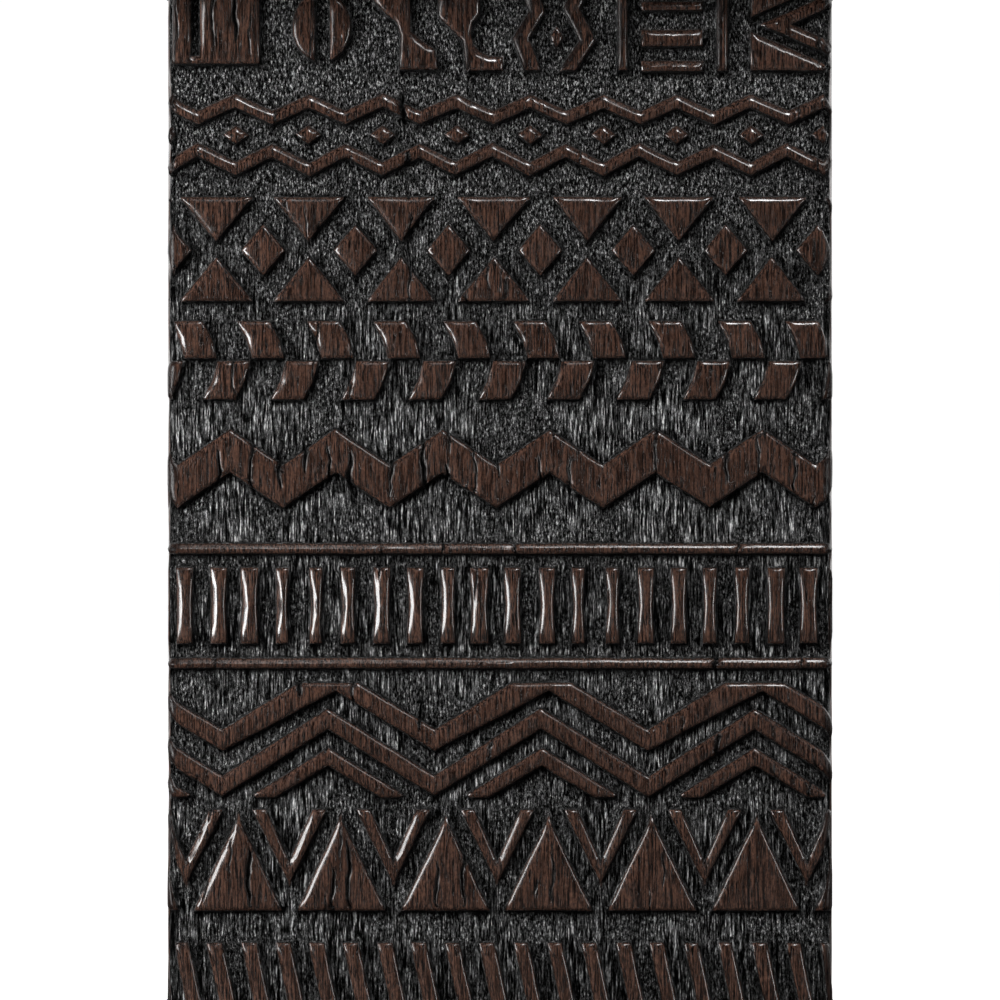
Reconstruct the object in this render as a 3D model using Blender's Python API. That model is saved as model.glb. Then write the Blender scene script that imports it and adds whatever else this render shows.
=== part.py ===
"""A carved wooden headrest: a block column in low relief, tenoned and wedged into a base and a cradle.

The carving runs round the column in nine bands. Its outlines are drawn on the unrolled sides: s runs
to the right from the middle of the front, on round the back, and v runs up from the middle of the
column. The front faces -Y and the object stands on Z = 0. Sizes are in millimetres until a mesh is made.
"""

import math
import random

import bmesh
import bpy
from mathutils import Matrix, Vector
from mathutils.geometry import delaunay_2d_cdt

MM = 0.001
GAP = 0.3  # clearance between pieces that touch
SAME = 0.001  # points of the carving nearer than this are one point
INSIDE_FACES = 1  # delaunay_2d_cdt's choice of only the triangles inside the given faces

# The column and its tenons
COLUMN_WIDTH = 80.0
COLUMN_DEPTH = 40.0
COLUMN_HEIGHT = 128.0
RELIEF = 0.95  # from the cut ground up to the tops
COLUMN_CORNER = 1.25  # radius of the column's upright corners
CORNER_STEPS = 2
TENON_WIDTH = 40.0
TENON_DEPTH = 18.0
TENON_SHORT = 0.5  # the lower tenon stays clear of the surface the base stands on

# The base and the two collars
BASE_LENGTH = 128.0
BASE_DEPTH = 72.0
BASE_THICKNESS = 15.0
BASE_EDGE = 8.0  # height of the upright edge, below the slope
BASE_CHAMFER = 1.0
BASE_CORNER = 16.0
BASE_TOP_MARGIN = 3.0  # of the base's flat top, round the plinth
COLLAR_LENGTH = 90.0
COLLAR_DEPTH = 50.0
COLLAR_THICKNESS = 6.0
COLLAR_CORNER = 7.0
COLLAR_STEPS = 6
PLAN_STEPS = 6  # in each rounded corner seen from above

# The cradle
CRADLE_LENGTH = 164.0
CRADLE_DEPTH = 60.0
CRADLE_THICKNESS = 13.0  # at the middle
CRADLE_RISE = 14.0  # of the tips above the middle of the seat
CRADLE_TIP = 8.5  # thickness at the tips
CRADLE_FLAT = 92.0  # length of the flat underside that the abacus bears on
CRADLE_TIP_SLANT = 2.5
CRADLE_ROUNDING = 2.2
SEAT_STEPS = 28
WING_STEPS = 9

# Wedges and pegs
WEDGE_PLACE = 12.5  # either side of the middle of each tenon
WEDGE_LENGTH = 13.5
WEDGE_THICK = 3.0
WEDGE_THIN = 1.2
PEG_PLACE = 5.2
PEG_DIAMETER = 5.0
PEG_PROUD = 0.5
PEG_DOME = 0.4
PEG_SEGMENTS = 20

# Levels
PLINTH_BOTTOM = BASE_THICKNESS + GAP
COLUMN_BOTTOM = PLINTH_BOTTOM + COLLAR_THICKNESS + GAP
COLUMN_TOP = COLUMN_BOTTOM + COLUMN_HEIGHT
COLUMN_MIDDLE = (COLUMN_BOTTOM + COLUMN_TOP) / 2
ABACUS_BOTTOM = COLUMN_TOP + GAP
CRADLE_BOTTOM = ABACUS_BOTTOM + COLLAR_THICKNESS + GAP
SEAT_LOW = CRADLE_BOTTOM + CRADLE_THICKNESS
SEAT_RADIUS = ((CRADLE_LENGTH / 2) ** 2 + CRADLE_RISE**2) / (2 * CRADLE_RISE)
BASE_PEG_LEVEL = (BASE_CHAMFER + BASE_EDGE) / 2
CRADLE_PEG_LEVEL = CRADLE_BOTTOM + CRADLE_THICKNESS / 2

# The unrolled sides
RIGHT = COLUMN_WIDTH / 2
HALF_TURN = COLUMN_WIDTH + COLUMN_DEPTH
PERIMETER = 2 * HALF_TURN
SIDE_MARGIN = 3.0  # how far plain wood of full height reaches from each corner, on the narrow sides

# Bands: pitch of the repeats and the place of one of them, then levels from the top down
BORDER = (64.0, 62.6)
TOP_ROW = (61.8, 51.6)
LOZENGE_PITCH, LOZENGE_FIRST = 8.85, 3.6
LOZENGE_RIDGES = ((47.9, 45.85), (42.0, 39.75))  # middle of each ridge at a peak and at a valley
LOZENGE_THICK = 1.55
LOZENGE_LEVEL = 43.85
LOZENGE_HALF = (1.5, 1.1)
TRIANGLE_PITCH, TRIANGLE_FIRST = 11.12, -0.7
TRIANGLE_LEVELS = (36.35, 31.1, 29.15, 23.9)
TRIANGLE_HALF = 4.2
DIAMOND_LEVEL = 30.0
DIAMOND_HALF = (2.6, 3.05)
LEANING_PITCH, LEANING_FIRST = 8.24, 1.4
LEANING_LEVELS = ((21.45, 17.05), (16.65, 12.1))
LEANING_WIDTH = 3.9
LEANING_SHIFT = 1.75
LEANING_BELLY = 0.3
LEANING_STEP = 6.0  # from an upper block to the lower one beside it
THICK_PITCH, THICK_FIRST = 12.78, 5.9
THICK_MIDDLES = (5.9, 1.65)
THICK_THICK = 5.1
LINE_MIDDLES = (-5.85, -19.6)
LINE_THICK = 1.15
BAR_PITCH, BAR_FIRST = 3.944, 1.6
BAR_LEVELS = (-8.15, -17.2)
BAR_WIDTH = 1.85
BAR_WAIST = 0.22
CHEVRON_PITCH, CHEVRON_FIRST = 25.6, -20.6
CHEVRON_CROWN = (-22.0, 3.6)  # level of the flat crown and half its length
CHEVRON_PEAK_ASIDE = 0.9  # of the crown's lower peak, to the right of its middle
CHEVRON_UPPER = (-27.6, -22.9, -30.1)  # upper line: valley above, peak below, valley below
CHEVRON_MIDDLES = (-26.3, -34.4)
CHEVRON_THICK = 2.4
CHEVRON_SHORT = (-29.8, -31.9, -35.7)  # lowest line: peak above, peak below, ends
CHEVRON_REACH = (9.0, 6.4)
CHEVRON_SNUB = (0.4, 0.3)  # cut off its pointed ends
SPEAR_PITCH, SPEAR_FIRST = 12.43, 5.85
SPEAR_LEVELS = (-38.2, -49.3)
SPEAR_HALF = 5.3
VEE_LEVELS = (-37.2, -43.5, -46.0)  # ends, inner point, outer point
VEE_HALF = (4.4, 2.8)
SLANT_PITCH, SLANT_FIRST = 4.087, 2.5
SLANT_LEVELS = (-53.2, -61.8)
SLANT_WIDTH = 1.75
SLANT_SHIFT = 1.9
HAND = 0.09  # how far the hand-cut outlines stray
LOOSE_HAND = 0.18  # how far a figure that has room round it strays

# Top row, left to right on a broad side
BLOCK_SPAN = (-40.0, -28.9)
BLOCK_GROOVE = (-37.2, -36.0)
BLOCK_GROOVE_FOOT = 53.3
BLOCK_LIFT = 0.8  # of its foot above the row's
OVAL_CENTRE = (-21.4, 56.8)
OVAL_HALF = (3.5, 4.2)
OVAL_SLOT = (-22.3, -20.4)
OVAL_STEPS = 10
RIBBON = (
    (-15.1, 61.8), (-15.1, 60.0), (-13.7, 58.4), (-12.4, 57.4), (-11.9, 55.8), (-12.1, 51.7),
    (-7.5, 51.7), (-7.8, 54.0), (-9.3, 55.0), (-10.8, 56.3), (-10.9, 61.8),
)  # fmt: skip
HOOK_BACK = (
    (-2.4, 61.8), (-7.4, 61.8), (-7.4, 58.1), (-5.9, 56.6), (-4.5, 55.2), (-4.0, 51.6), (0.3, 51.6),
)  # fmt: skip
HOOK_EYE = (-0.6, 56.1)
HOOK_EYE_RADIUS = 3.0
HOOK_EYE_TURNS = (-80.0, -230.0)  # where the eye's arc starts and ends, in degrees
HOOK_EYE_STEPS = 6
BRACKETS = (
    ((3.4, 61.8), (4.4, 58.6), (2.5, 55.4), (3.9, 51.6)),
    ((10.0, 61.8), (8.6, 59.0), (10.5, 55.2), (8.1, 51.6)),
)
BRACKET_HALF = 0.95
EYE = (6.8, 55.6)
EYE_HALF = (0.8, 1.3)
POSTS = ((14.2, 15.3), (26.1, 27.3))
RUNG_SPAN = (17.0, 24.3)
RUNGS = ((59.8, 58.8), (56.4, 54.5), (52.7, 51.5))
BOW_LEFT = 30.1
BOW_LEVEL = 57.1
BOW_OPENING = 0.9
BOW_SLOPE = 0.43
BOW_TIP = 0.6  # height of the low triangle's blunt tip
BOW_POINTS = (31.3, 34.9)  # outer and inner point of the chevron that lies in the bow

# Colours and roughness
CARVED_WOOD = (0.060, 0.036, 0.029)
DARK_WOOD = (0.045, 0.029, 0.024)
WORN_WOOD = (0.075, 0.045, 0.034)
PEG_WOOD = (0.105, 0.066, 0.044)
DARK_ROUGHNESS = 0.42
WORN_ROUGHNESS = 0.35
PALE_ROUGHNESS = 0.52

# Edges sharper than this, in degrees, are rounded over
ROUNDED_ANGLE = 40.0
ROUNDING_STEPS = 2

# Where a smooth-shaded surface turns sharp, in degrees
SHARP_ANGLE = 32.0
SHARP_SLOPE = 18.0
SHARP_COLLAR = 50.0


def clear_scene():
    for obj in list(bpy.data.objects):
        bpy.data.objects.remove(obj, do_unlink=True)


def make_material(name, colour, roughness):
    material = bpy.data.materials.new(name)
    material.use_nodes = True
    shader = material.node_tree.nodes["Principled BSDF"]
    shader.inputs["Base Color"].default_value = (*colour, 1.0)
    shader.inputs["Roughness"].default_value = roughness
    shader.inputs["Metallic"].default_value = 0.0
    return material


def finish(bm, name, place=None):
    """Turns a bmesh in millimetres into an object in metres."""
    bmesh.ops.recalc_face_normals(bm, faces=bm.faces)
    if place is not None:
        bmesh.ops.transform(bm, matrix=place, verts=bm.verts)
    bmesh.ops.scale(bm, vec=(MM, MM, MM), verts=bm.verts)
    mesh = bpy.data.meshes.new(name)
    bm.to_mesh(mesh)
    bm.free()
    obj = bpy.data.objects.new(name, mesh)
    bpy.context.scene.collection.objects.link(obj)
    return obj


def hide_cutter(obj):
    obj.hide_render = True
    obj.display_type = "WIRE"
    return obj


def add_boolean(obj, other, operation):
    modifier = obj.modifiers.new(operation.lower() + "_" + other.name, "BOOLEAN")
    modifier.operation = operation
    modifier.object = other


def round_over(obj, width):
    """Rounds a piece's sharp edges."""
    rounding = obj.modifiers.new("rounding", "BEVEL")
    rounding.width = width * MM
    rounding.segments = ROUNDING_STEPS
    rounding.limit_method = "ANGLE"
    rounding.angle_limit = math.radians(ROUNDED_ANGLE)


def shade(obj, material, sharp_angle=SHARP_ANGLE):
    obj.data.materials.append(material)
    obj.data.shade_smooth()
    obj.data.set_sharp_from_angle(angle=math.radians(sharp_angle))


def add_box(bm, low, high):
    """A box from its lowest to its highest corner."""
    size = [b - a for a, b in zip(low, high)]
    middle = [(a + b) / 2 for a, b in zip(low, high)]
    place = Matrix.Translation(middle) @ Matrix.Diagonal((*size, 1.0))
    bmesh.ops.create_cube(bm, size=1.0, matrix=place)


def extrude_outlines(outlines, low, high):
    """Closed prisms over outlines in the XY plane, from z = low to z = high."""
    bm = bmesh.new()
    for outline in outlines:
        bm.faces.new([bm.verts.new((x, y, low)) for x, y in outline])
    raised = bmesh.ops.extrude_face_region(bm, geom=list(bm.faces), use_keep_orig=True)
    lifted = [item for item in raised["geom"] if isinstance(item, bmesh.types.BMVert)]
    bmesh.ops.translate(bm, vec=(0, 0, high - low), verts=lifted)
    return bm


def stand_up():
    """Turns an outline's (x, y) into the front's (X, Z), with its prism reaching towards -Y."""
    return Matrix.Rotation(math.radians(90), 4, "X")


# Outlines of the carving


def stray(band, number, reach=HAND):
    """A small shift that is always the same for one repeat of one band."""
    return random.Random(f"{band} {number}").uniform(-reach, reach)


def repeats(pitch, first):
    """(number, place) of each repeat, from before the left corner to past a full turn."""
    whole = round(PERIMETER / pitch)
    start = math.floor((-RIGHT - first) / pitch) - 1
    return [(k % whole, first + k * pitch) for k in range(start, start + whole + 4)]


def go_round(outline, pitch):
    """Spreads a band past the front's right corner, so that a whole number of repeats fits round."""
    whole = round(PERIMETER / pitch)
    factor = (PERIMETER - COLUMN_WIDTH) / (whole * pitch - COLUMN_WIDTH)
    return [(s if s < RIGHT else RIGHT + (s - RIGHT) * factor, v) for s, v in outline]


def zigzag_ridge(band, pitch, first, middles, thick):
    """One ridge that runs all the way round, between a level at its peaks and one at its valleys."""
    peak, valley = middles
    line = []
    for number, s in repeats(pitch, first):
        line.append((s + stray(band, number), peak + stray(band + " peak", number)))
        line.append((s + pitch / 2 + stray(band, -number), valley + stray(band + " valley", number)))
    upper = [(s, v + thick / 2) for s, v in line]
    lower = [(s, v - thick / 2) for s, v in line]
    return go_round(upper + lower[::-1], pitch)


def diamond(s, v, half):
    across, up = half
    return [(s - across, v), (s, v - up), (s + across, v), (s, v + up)]


def plain_line(high, low):
    reach = HALF_TURN + COLUMN_WIDTH
    return [(-reach, low), (reach + RIGHT, low), (reach + RIGHT, high), (-reach, high)]


def upright(left, right, low=TOP_ROW[1], high=TOP_ROW[0]):
    return [(left, low), (right, low), (right, high), (left, high)]


def oval_halves():
    """An oval with an upright slot down its middle."""
    middle, level = OVAL_CENTRE
    across, up = OVAL_HALF
    halves = []
    for edge, side in zip(OVAL_SLOT, (-1, 1)):
        start = math.acos(abs(edge - middle) / across)
        turns = [start * (1 - 2 * step / OVAL_STEPS) for step in range(OVAL_STEPS + 1)]
        halves.append([(middle + side * across * math.cos(a), level + up * math.sin(a)) for a in turns])
    return halves


def hook():
    middle, level = HOOK_EYE
    start, end = HOOK_EYE_TURNS
    eye = []
    for step in range(HOOK_EYE_STEPS + 1):
        a = math.radians(start + (end - start) * step / HOOK_EYE_STEPS)
        eye.append((middle + HOOK_EYE_RADIUS * math.cos(a), level + HOOK_EYE_RADIUS * math.sin(a)))
    foot = (HOOK_BACK[-1][0], eye[0][1])
    return [*HOOK_BACK, foot, *eye]


def bracket(line):
    left = [(s - BRACKET_HALF, v) for s, v in line]
    right = [(s + BRACKET_HALF, v) for s, v in line]
    return left[::-1] + right


def bow():
    """Two triangles and a chevron that opens at the corner of the column."""
    top, foot = TOP_ROW
    outer, inner = BOW_POINTS
    above = BOW_LEVEL + BOW_OPENING
    below = BOW_LEVEL - BOW_OPENING
    reach = (top - above) / BOW_SLOPE
    end = foot + BOW_TIP
    low_reach = (below - end) / BOW_SLOPE
    outer_rise = (RIGHT - outer) * BOW_SLOPE
    inner_rise = (RIGHT - inner) * BOW_SLOPE
    return [
        [(BOW_LEFT, above), (BOW_LEFT + reach, top), (BOW_LEFT, top)],
        [(BOW_LEFT, below), (BOW_LEFT, foot), (BOW_LEFT + low_reach, foot), (BOW_LEFT + low_reach, end)],
        [
            (outer, BOW_LEVEL),
            (RIGHT, BOW_LEVEL - outer_rise),
            (RIGHT, BOW_LEVEL - inner_rise),
            (inner, BOW_LEVEL),
            (RIGHT, BOW_LEVEL + inner_rise),
            (RIGHT, BOW_LEVEL + outer_rise),
        ],
    ]


def top_row():
    """Single figures: all of them on each broad side, and the right half mirrored on each narrow side."""
    top, foot = TOP_ROW
    left, right = BLOCK_SPAN
    groove_left, groove_right = BLOCK_GROOVE
    block = [
        (left, foot + BLOCK_LIFT),
        (right, foot + BLOCK_LIFT),
        (right, top),
        (groove_right, top),
        (groove_right, BLOCK_GROOVE_FOOT),
        (groove_left, BLOCK_GROOVE_FOOT),
        (groove_left, top),
        (left, top),
    ]
    left_half = [block, *oval_halves(), list(RIBBON), hook()]
    right_half = [bracket(line) for line in BRACKETS]
    right_half += [diamond(*EYE, EYE_HALF)]
    right_half += [upright(*post) for post in POSTS]
    right_half += [upright(*RUNG_SPAN, low, high) for high, low in RUNGS]
    right_half += bow()
    mirrored = [[(2 * RIGHT - s, v) for s, v in outline] for outline in right_half]
    outlines = []
    for turn in (0, HALF_TURN):
        for outline in left_half + right_half + mirrored:
            outlines.append([(s + turn, v) for s, v in outline])
    return outlines


def lozenge_band():
    outlines = [
        zigzag_ridge("upper lozenge", LOZENGE_PITCH, LOZENGE_FIRST, LOZENGE_RIDGES[0], LOZENGE_THICK),
        zigzag_ridge(
            "lower lozenge",
            LOZENGE_PITCH,
            LOZENGE_FIRST - LOZENGE_PITCH / 2,
            LOZENGE_RIDGES[1],
            LOZENGE_THICK,
        ),
    ]
    for number, s in repeats(LOZENGE_PITCH, LOZENGE_FIRST):
        outline = diamond(s + stray("lozenge", number), LOZENGE_LEVEL, LOZENGE_HALF)
        outlines.append(go_round(outline, LOZENGE_PITCH))
    return outlines


def triangle_band():
    """Triangles point to point, with a diamond in each space between them."""
    top, down_point, up_point, foot = TRIANGLE_LEVELS
    outlines = []
    for number, s in repeats(TRIANGLE_PITCH, TRIANGLE_FIRST):
        upper = s + stray("triangle down", number)
        lower = s + stray("triangle up", number)
        beside = s + TRIANGLE_PITCH / 2 + stray("diamond", number)
        half = TRIANGLE_HALF + stray("triangle", number, LOOSE_HAND)
        group = [
            [(upper, down_point), (upper + half, top), (upper - half, top)],
            [(lower, up_point), (lower - half, foot), (lower + half, foot)],
            diamond(beside, DIAMOND_LEVEL, DIAMOND_HALF),
        ]
        outlines += [go_round(outline, TRIANGLE_PITCH) for outline in group]
    return outlines


def leaning_block(left, high, low, shift):
    """A leaning block whose left edge bellies a little."""
    middle = (high + low) / 2
    right = left + LEANING_WIDTH
    return [
        (left + shift, low),
        (right + shift, low),
        (right + shift / 2 + LEANING_BELLY, middle),
        (right, high),
        (left, high),
        (left + shift / 2 + LEANING_BELLY, middle),
    ]


def leaning_band():
    outlines = []
    for number, s in repeats(LEANING_PITCH, LEANING_FIRST):
        (high, low), (next_high, next_low) = LEANING_LEVELS
        first = s + stray("leaning", number, LOOSE_HAND)
        second = s + LEANING_STEP + stray("leaning back", number, LOOSE_HAND)
        group = [
            leaning_block(first, high, low, LEANING_SHIFT),
            leaning_block(second, next_high, next_low, -LEANING_SHIFT),
        ]
        outlines += [go_round(outline, LEANING_PITCH) for outline in group]
    return outlines


def bar_band():
    """Two plain lines, with a row of waisted bars between them."""
    high, low = BAR_LEVELS
    middle = (high + low) / 2
    outlines = [plain_line(level + LINE_THICK / 2, level - LINE_THICK / 2) for level in LINE_MIDDLES]
    for number, s in repeats(BAR_PITCH, BAR_FIRST):
        place = s + stray("bar", number, LOOSE_HAND)
        half = BAR_WIDTH / 2 + stray("bar width", number, LOOSE_HAND)
        waist = half - BAR_WAIST
        outline = [
            (place - half, low),
            (place + half, low),
            (place + waist, middle),
            (place + half, high),
            (place - half, high),
            (place - waist, middle),
        ]
        outlines.append(go_round(outline, BAR_PITCH))
    return outlines


def crowned_ridge():
    """The upper line of the chevron band, whose peaks are cut flat."""
    crown, half = CHEVRON_CROWN
    valley_above, peak_below, valley_below = CHEVRON_UPPER
    upper = []
    lower = []
    for number, s in repeats(CHEVRON_PITCH, CHEVRON_FIRST):
        trough = s + CHEVRON_PITCH / 2 + stray("crowned", number)
        upper += [(s - half, crown), (s + half, crown), (trough, valley_above)]
        lower += [(s + CHEVRON_PEAK_ASIDE, peak_below), (trough, valley_below)]
    return go_round(upper + lower[::-1], CHEVRON_PITCH)


def chevron_band():
    peak_above, peak_below, end = CHEVRON_SHORT
    reach, inner_reach = CHEVRON_REACH
    snub, lift = CHEVRON_SNUB
    outlines = [
        crowned_ridge(),
        zigzag_ridge("chevron", CHEVRON_PITCH, CHEVRON_FIRST, CHEVRON_MIDDLES, CHEVRON_THICK),
    ]
    for number, s in repeats(CHEVRON_PITCH, CHEVRON_FIRST):
        tip = s + stray("short chevron", number)
        outline = [
            (tip, peak_above),
            (s - reach, end + lift),
            (s - reach + snub, end),
            (s - inner_reach, end),
            (tip, peak_below),
            (s + inner_reach, end),
            (s + reach - snub, end),
            (s + reach, end + lift),
        ]
        outlines.append(go_round(outline, CHEVRON_PITCH))
    return outlines


def spear_band():
    """Tall triangles, with a V standing in each space between them."""
    point, foot = SPEAR_LEVELS
    ends, inner, outer = VEE_LEVELS
    outer_half, inner_half = VEE_HALF
    outlines = []
    for number, s in repeats(SPEAR_PITCH, SPEAR_FIRST):
        tip = s + stray("spear", number, LOOSE_HAND)
        vee = s + SPEAR_PITCH / 2 + stray("vee", number)
        group = [
            [(tip, point), (s - SPEAR_HALF, foot), (s + SPEAR_HALF, foot)],
            [
                (vee - outer_half, ends),
                (vee, outer),
                (vee + outer_half, ends),
                (vee + inner_half, ends),
                (vee, inner),
                (vee - inner_half, ends),
            ],
        ]
        outlines += [go_round(outline, SPEAR_PITCH) for outline in group]
    return outlines


def slant_band():
    high, low = SLANT_LEVELS
    outlines = []
    for number, s in repeats(SLANT_PITCH, SLANT_FIRST):
        left = s - SLANT_WIDTH / 2 + stray("slant", number)
        right = s + SLANT_WIDTH / 2 + stray("slant width", number)
        outline = [(left + SLANT_SHIFT, low), (right + SLANT_SHIFT, low), (right, high), (left, high)]
        outlines.append(go_round(outline, SLANT_PITCH))
    return outlines


def side_margins():
    """Upright strips on the narrow sides, which keep the column's four edges straight."""
    half = COLUMN_HEIGHT / 2
    outlines = []
    for corner in (RIGHT, RIGHT + HALF_TURN):
        last = corner + COLUMN_DEPTH
        outlines.append(upright(corner + COLUMN_CORNER, corner + SIDE_MARGIN, -half, half))
        outlines.append(upright(last - SIDE_MARGIN, last - COLUMN_CORNER, -half, half))
    return outlines


def carving_outlines():
    outlines = [plain_line(*BORDER), plain_line(-BORDER[1], -BORDER[0]), *side_margins()]
    bands = (
        top_row, lozenge_band, triangle_band, leaning_band, bar_band, chevron_band, spear_band, slant_band,
    )  # fmt: skip
    for band in bands:
        outlines += band()
    outlines.append(zigzag_ridge("thick", THICK_PITCH, THICK_FIRST, THICK_MIDDLES, THICK_THICK))
    return outlines


# The carved block


def side_path(depth):
    """The column's plan at one depth below the tops: (s, x, y) once round from the front's left corner."""
    radius = COLUMN_CORNER - depth
    centre_x = RIGHT - COLUMN_CORNER
    centre_y = COLUMN_DEPTH / 2 - COLUMN_CORNER
    corners = ((-1, -1, 180), (1, -1, 270), (1, 1, 0), (-1, 1, 90), (-1, -1, 180))
    places = (-RIGHT, RIGHT, RIGHT + COLUMN_DEPTH, RIGHT + COLUMN_DEPTH + COLUMN_WIDTH, PERIMETER - RIGHT)
    path = []
    for (side_x, side_y, turn), place in zip(corners, places):
        for step in range(CORNER_STEPS + 1):
            part = step / CORNER_STEPS
            a = math.radians(turn + 90 * part)
            x = side_x * centre_x + radius * math.cos(a)
            y = side_y * centre_y + radius * math.sin(a)
            path.append((place + COLUMN_CORNER * (2 * part - 1), x, y))
    return path


def on_path(path, s):
    for (s0, x0, y0), (s1, x1, y1) in zip(path, path[1:]):
        if s0 <= s <= s1:
            part = (s - s0) / (s1 - s0)
            return x0 + part * (x1 - x0), y0 + part * (y1 - y0)
    raise ValueError(f"{s} is not on the column's path")


def anticlockwise(outline):
    area = sum(a[0] * b[1] - b[0] * a[1] for a, b in zip(outline, outline[1:] + outline[:1]))
    return outline if area > 0 else outline[::-1]


def cut_pattern(outlines, seam_levels):
    """The unrolled sides cut along every outline: points, triangles, and the outlines each lies in."""
    left, right = -RIGHT, PERIMETER - RIGHT
    half = COLUMN_HEIGHT / 2
    sides = [(right, v) for v in seam_levels] + [(left, v) for v in reversed(seam_levels)]
    points = []
    faces = []
    for outline in [sides] + [anticlockwise(outline) for outline in outlines]:
        faces.append(list(range(len(points), len(points) + len(outline))))
        points += outline
    folds = []
    for s, _, _ in side_path(0):
        if left < s < right:
            folds.append((len(points), len(points) + 1))
            points += [(s, -half), (s, half)]
    flat_points = [Vector(point) for point in points]
    cut = delaunay_2d_cdt(flat_points, folds, faces, INSIDE_FACES, SAME)
    return cut[0], cut[2], cut[5]


def flat_pattern(outlines):
    """Points, and (triangle, whether it is raised), with the same levels on both edges of the seam."""
    half = COLUMN_HEIGHT / 2
    points, _, _ = cut_pattern(outlines, [-half, half])
    on_seam = [v for s, v in points if abs(abs(s - HALF_TURN + RIGHT) - HALF_TURN) < SAME]
    seam_levels = [-half]
    for v in sorted(on_seam) + [half]:
        if v > seam_levels[-1] + 2 * SAME:
            seam_levels.append(v)
    points, faces, owners = cut_pattern(outlines, seam_levels)
    return points, [(face, len(inside) > 1) for face, inside in zip(faces, owners) if 0 in inside]


def carved_block(outlines):
    """The block without its tenons: tops, ground, upright walls between them, and flat ends."""
    points, faces = flat_pattern(outlines)
    paths = {False: side_path(RELIEF), True: side_path(0)}
    bm = bmesh.new()
    made = {}

    def spot(index):
        s, v = points[index]
        turned = s + RIGHT
        return (0 if turned > PERIMETER - SAME else round(turned / SAME)), round(v / SAME)

    def corner(place, top):
        if (place, top) not in made:
            x, y = on_path(paths[top], place[0] * SAME - RIGHT)
            made[place, top] = bm.verts.new((x, y, COLUMN_MIDDLE + place[1] * SAME))
        return made[place, top]

    owners = {}
    for face, top in faces:
        places = [spot(index) for index in face]
        if len(set(places)) == len(places):
            bm.faces.new([corner(place, top) for place in places])
            for edge in zip(places, places[1:] + places[:1]):
                owners[edge] = top
    for (a, b), top in owners.items():
        if top and owners.get((b, a)) is False:
            bm.faces.new((corner(b, True), corner(a, True), corner(a, False), corner(b, False)))
    open_edges = [edge for edge in bm.edges if len(edge.link_faces) == 1]
    bmesh.ops.edgeloop_fill(bm, edges=open_edges)
    return finish(bm, "carved_column")


# Joints


def wedge_outline(ease):
    """A wedge seen from the front, thick end up, with its thick end at the origin."""
    thick = WEDGE_THICK / 2 + ease
    thin = WEDGE_THIN / 2 + ease
    length = WEDGE_LENGTH + ease
    return [(-thick, ease), (-thin, -length), (thin, -length), (thick, ease)]


def place_wedge(upper, side):
    """Where a wedge's thick end goes: level with the seat above, with the tenon's end below."""
    if upper:
        return Matrix.Translation((side * WEDGE_PLACE, 0, SEAT_LOW)) @ stand_up()
    upside_down = Matrix.Rotation(math.pi, 4, "Y") @ stand_up()
    return Matrix.Translation((side * WEDGE_PLACE, 0, TENON_SHORT)) @ upside_down


def seat_line():
    """Points along the seat from the left tip to the right one."""
    half_angle = math.asin(CRADLE_LENGTH / 2 / SEAT_RADIUS)
    turns = [half_angle * (2 * step / SEAT_STEPS - 1) for step in range(SEAT_STEPS + 1)]
    centre = SEAT_LOW + SEAT_RADIUS
    return [(SEAT_RADIUS * math.sin(a), centre - SEAT_RADIUS * math.cos(a)) for a in turns]


def above_seat_cutter():
    top = SEAT_LOW + 2 * CRADLE_RISE
    outline = seat_line() + [(CRADLE_LENGTH / 2, top), (-CRADLE_LENGTH / 2, top)]
    bm = extrude_outlines([outline], -CRADLE_DEPTH, CRADLE_DEPTH)
    return hide_cutter(finish(bm, "above_seat", stand_up()))


def kerf_cutter():
    """Slots for the four wedges, right through both tenons."""
    whole = bmesh.new()
    for upper in (False, True):
        for side in (-1, 1):
            bm = extrude_outlines([wedge_outline(GAP)], -TENON_DEPTH, TENON_DEPTH)
            bmesh.ops.transform(bm, matrix=place_wedge(upper, side), verts=bm.verts)
            mesh = bpy.data.meshes.new("kerf")
            bm.to_mesh(mesh)
            bm.free()
            whole.from_mesh(mesh)
            bpy.data.meshes.remove(mesh)
    return hide_cutter(finish(whole, "kerfs"))


def add_rod(bm, place, level, radius, half_length):
    lie = Matrix.Translation((place, 0, level)) @ Matrix.Rotation(math.radians(90), 4, "X")
    bmesh.ops.create_cone(
        bm,
        cap_ends=True,
        segments=PEG_SEGMENTS,
        radius1=radius,
        radius2=radius,
        depth=2 * half_length,
        matrix=lie,
    )


def peg_hole_cutter():
    bm = bmesh.new()
    for side in (-1, 1):
        for level in (BASE_PEG_LEVEL, CRADLE_PEG_LEVEL):
            add_rod(bm, side * PEG_PLACE, level, PEG_DIAMETER / 2 + GAP, BASE_DEPTH)
    return hide_cutter(finish(bm, "peg_holes"))


def mortise_cutter():
    bm = bmesh.new()
    low = (-TENON_WIDTH / 2 - GAP, -TENON_DEPTH / 2 - GAP, -BASE_THICKNESS)
    high = (TENON_WIDTH / 2 + GAP, TENON_DEPTH / 2 + GAP, SEAT_LOW + CRADLE_RISE)
    add_box(bm, low, high)
    return hide_cutter(finish(bm, "mortise"))


# Pieces


def make_column(above_seat, kerfs, peg_holes, material):
    column = carved_block(carving_outlines())
    bm = bmesh.new()
    low = (-TENON_WIDTH / 2, -TENON_DEPTH / 2, TENON_SHORT)
    add_box(bm, low, (TENON_WIDTH / 2, TENON_DEPTH / 2, SEAT_LOW + CRADLE_RISE / 2))
    tenons = hide_cutter(finish(bm, "tenons"))
    add_boolean(column, tenons, "UNION")
    for cutter in (above_seat, kerfs, peg_holes):
        add_boolean(column, cutter, "DIFFERENCE")
    shade(column, material)


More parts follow.
